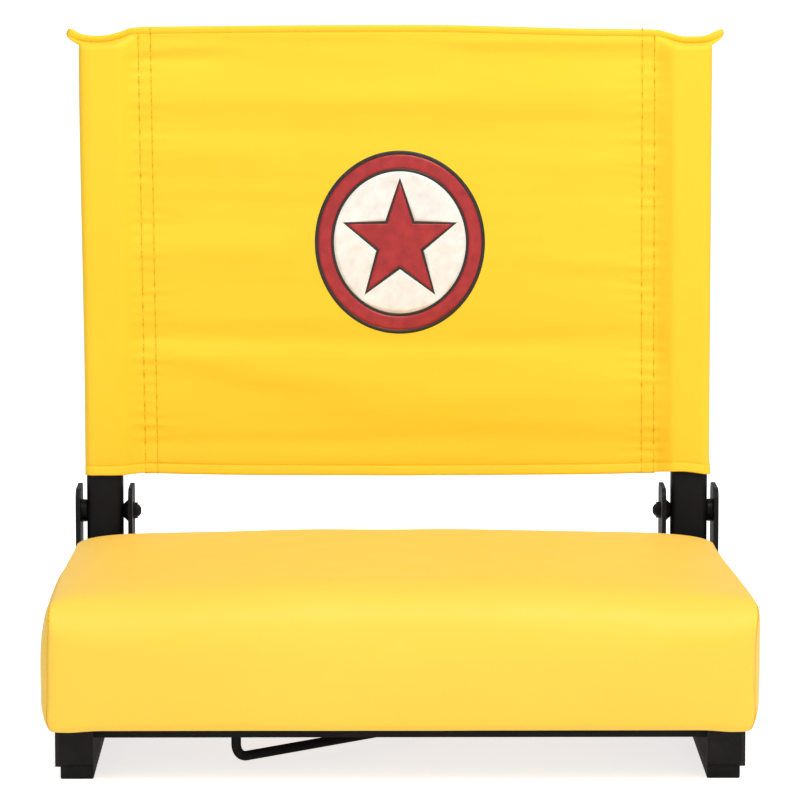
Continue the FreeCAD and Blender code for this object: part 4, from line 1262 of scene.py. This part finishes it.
def front_row(line, length, radius):
    """What stitch_row() needs for a line of stitches on the front of the back."""
    line = np.array(line)
    forward = np.array([0.0, -1.0, 0.0])
    return line, np.gradient(line, axis=0), np.tile(forward, (len(line), 1)), length, radius


def sling_thread():
    """Two stitch rows beside each sleeve, and one along each hem."""
    rows = []
    for side in (-1, 1):
        for inset, pitch in STITCH_COLUMNS:
            heights = np.arange(BACK_LOW + COLUMN_FOOT, COLUMN_TOP, pitch)
            line = [front_place(side * (seam_column(side, z) - inset), z) for z in heights]
            rows.append(front_row(line, pitch, COLUMN_THREAD))
    across = np.arange(-HEM_STITCH_HALF, HEM_STITCH_HALF, HEM_PITCH)
    for z, lift in ((BACK_LOW + HEM_DEEP, bottom_lift), (HEM_LINE, edge_lift)):
        rows.append(front_row([front_place(x, z + lift(x)) for x in across], HEM_STITCH, HEM_THREAD))
    return settle(stitches("back_thread", rows), "thread", "backrest", "back_fabric")


# ---------------------------------------------------------------- print

BADGE_X, BADGE_Z = 2.0, 321.0
BADGE_SCALE = (1.0, 1.08)
BADGE_TURNS = 160
FILM_PROUD, FILM_THICK, FILM_WELD = 0.12, 0.08, 0.02
RIM, RING, RING_LINE, FIELD = (60,), (57.5,), (48.5,), (46.5,)
STAR_LINE, STAR, MIDDLE = (42.5, 17.5), (39, 15.2), (0.0,)
# Name, ink, inner and outer outline, and steps between them. An outline is a circle's
# radius, or the distances of a star's points and notches.
BADGE = (("print_rim", "print_black", RING, RIM, 2),
         ("print_ring", "print_red", RING_LINE, RING, 5),
         ("print_ring_line", "print_black", FIELD, RING_LINE, 2),
         ("print_field", "print_white", STAR_LINE, FIELD, 9),
         ("print_star_line", "print_black", STAR, STAR_LINE, 2),
         ("print_star", "print_red", MIDDLE, STAR, 12))


def star_edge(angle, outer, inner):
    """Distance from the centre to the edge of a five-point star."""
    sector = math.pi / 5
    turn = (angle - math.pi / 2) % (2 * sector)
    turn = min(turn, 2 * sector - turn)
    top, notch = np.array([outer, 0.0]), inner * np.array([math.cos(sector), math.sin(sector)])
    edge = notch - top
    ray = np.array([math.cos(turn), math.sin(turn)])
    return (top[0] * edge[1] - top[1] * edge[0]) / (ray[0] * edge[1] - ray[1] * edge[0])


def outline(angle, outer, notch=None):
    """Distance from the centre to an outline."""
    return outer if notch is None else star_edge(angle, outer, notch)


def print_patch(name, ink, inner, outer, steps):
    """Thin film of ink between two outlines."""
    turns = BADGE_TURNS
    points = []
    for level in range(steps + 1):
        for turn in range(turns):
            angle = 2 * math.pi * turn / turns
            low, high = outline(angle, *inner), outline(angle, *outer)
            distance = low + (high - low) * level / steps
            x = BADGE_X + distance * math.cos(angle) * BADGE_SCALE[0]
            z = BADGE_Z + distance * math.sin(angle) * BADGE_SCALE[1]
            points.append(front_place(x, z) + np.array([0, -FILM_PROUD, 0]))
    patch = make_mesh(name, points, ring_faces(steps + 1, turns), weld=FILM_WELD)
    add_modifier(patch, "Film", "SOLIDIFY", thickness=FILM_THICK * MM, offset=1.0)
    return settle(patch, ink, "backrest", "back_fabric")


def make_spring():
    """Copy of the hook's spring, in place of the CAD one; the real spring shortens as the hook is
    pulled down.
    """
    spring = add_object("hook_spring_coil", frame["nodes"]["hook_spring"].data.copy())
    settle(spring, "zinc_steel", "seat_base", "zinc_steel", "hook_spring")
    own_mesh(spring)
    return spring


# ---------------------------------------------------------------- studio

# Name, place, aim, width and power of each light, in metres and watts.
LIGHTS = (("key", (0.7, -1.5, 2.82), (0, 0, 0.2), 1.2, 65),
          ("fill", (-0.5, -3.0, 0.5), (0, 0, 0.25), 1.4, 5))
CAMERA_PLACE = (-0.0233, -3.2983, 0.6311)
CAMERA_DOWN, CAMERA_TURN = 6.963, -0.4206
CAMERA_LENS, CAMERA_SENSOR = 221.34, 36
FLOOR_REACH = 40000
FLOOR_GLOW, FLOOR_GLOW_SEEN = 0.15, 0.74
WORLD_LIGHT, WORLD_SEEN = 0.56, 1.0


def area_light(name, place, aim, size, power):
    """Square soft light that faces a point."""
    data = bpy.data.lights.new(name, "AREA")
    data.size = size
    data.energy = power
    lamp = add_object(name, data)
    lamp.location = place
    lamp.rotation_euler = (Vector(aim) - Vector(place)).to_track_quat("-Z", "Y").to_euler()


def studio_floor():
    """Wide pale floor."""
    reach = FLOOR_REACH
    floor = make_mesh("studio_floor", [(-reach, -reach, 0), (reach, -reach, 0), (reach, reach, 0),
                                       (-reach, reach, 0)], [(0, 1, 2, 3)])
    made = Recipe("studio_floor")
    cloud = made.noise(3.0, 4.0)
    tint = made.mix(cloud, (0.90, 0.90, 0.90, 1), (0.87, 0.87, 0.87, 1))
    seen = made.node("LightPath").outputs["Is Camera Ray"]
    floor.data.materials.append(made.done(Base_Color=tint, Roughness=0.9, Specular_IOR_Level=0.1,
                                          Emission_Color=(1, 1, 1, 1),
                                          Emission_Strength=made.remap(seen, 0, 1, FLOOR_GLOW,
                                                                       FLOOR_GLOW_SEEN)))
    return floor


def surroundings():
    """White all round: full white to the camera, softer as light."""
    world = bpy.data.worlds.new("studio")
    world.use_nodes = True
    nodes = world.node_tree.nodes
    background = nodes["Background"]
    background.inputs["Color"].default_value = (1, 1, 1, 1)
    path = nodes.new("ShaderNodeLightPath")
    level = nodes.new("ShaderNodeMapRange")
    level.inputs["To Min"].default_value = WORLD_LIGHT
    level.inputs["To Max"].default_value = WORLD_SEEN
    links = world.node_tree.links
    links.new(path.outputs["Is Camera Ray"], level.inputs["Value"])
    links.new(level.outputs[0], background.inputs["Strength"])
    bpy.context.scene.world = world


def studio():
    """Floor, soft lights, white surroundings and the camera."""
    studio_floor()
    surroundings()
    scene = bpy.context.scene
    scene.view_settings.view_transform = "Standard"
    scene.view_settings.look = "None"
    for light in LIGHTS:
        area_light(*light)
    camera_data = bpy.data.cameras.new("camera")
    camera_data.lens = CAMERA_LENS
    camera_data.sensor_width = CAMERA_SENSOR
    camera = add_object("camera", camera_data)
    camera.location = CAMERA_PLACE
    camera.rotation_euler = (math.radians(90 - CAMERA_DOWN), 0, math.radians(CAMERA_TURN))
    scene.camera = camera


# ---------------------------------------------------------------- build


dress_frame()
make_spring()
make_cushion()
make_sling()
sling_thread()
for patch in BADGE:
    print_patch(*patch)
studio()
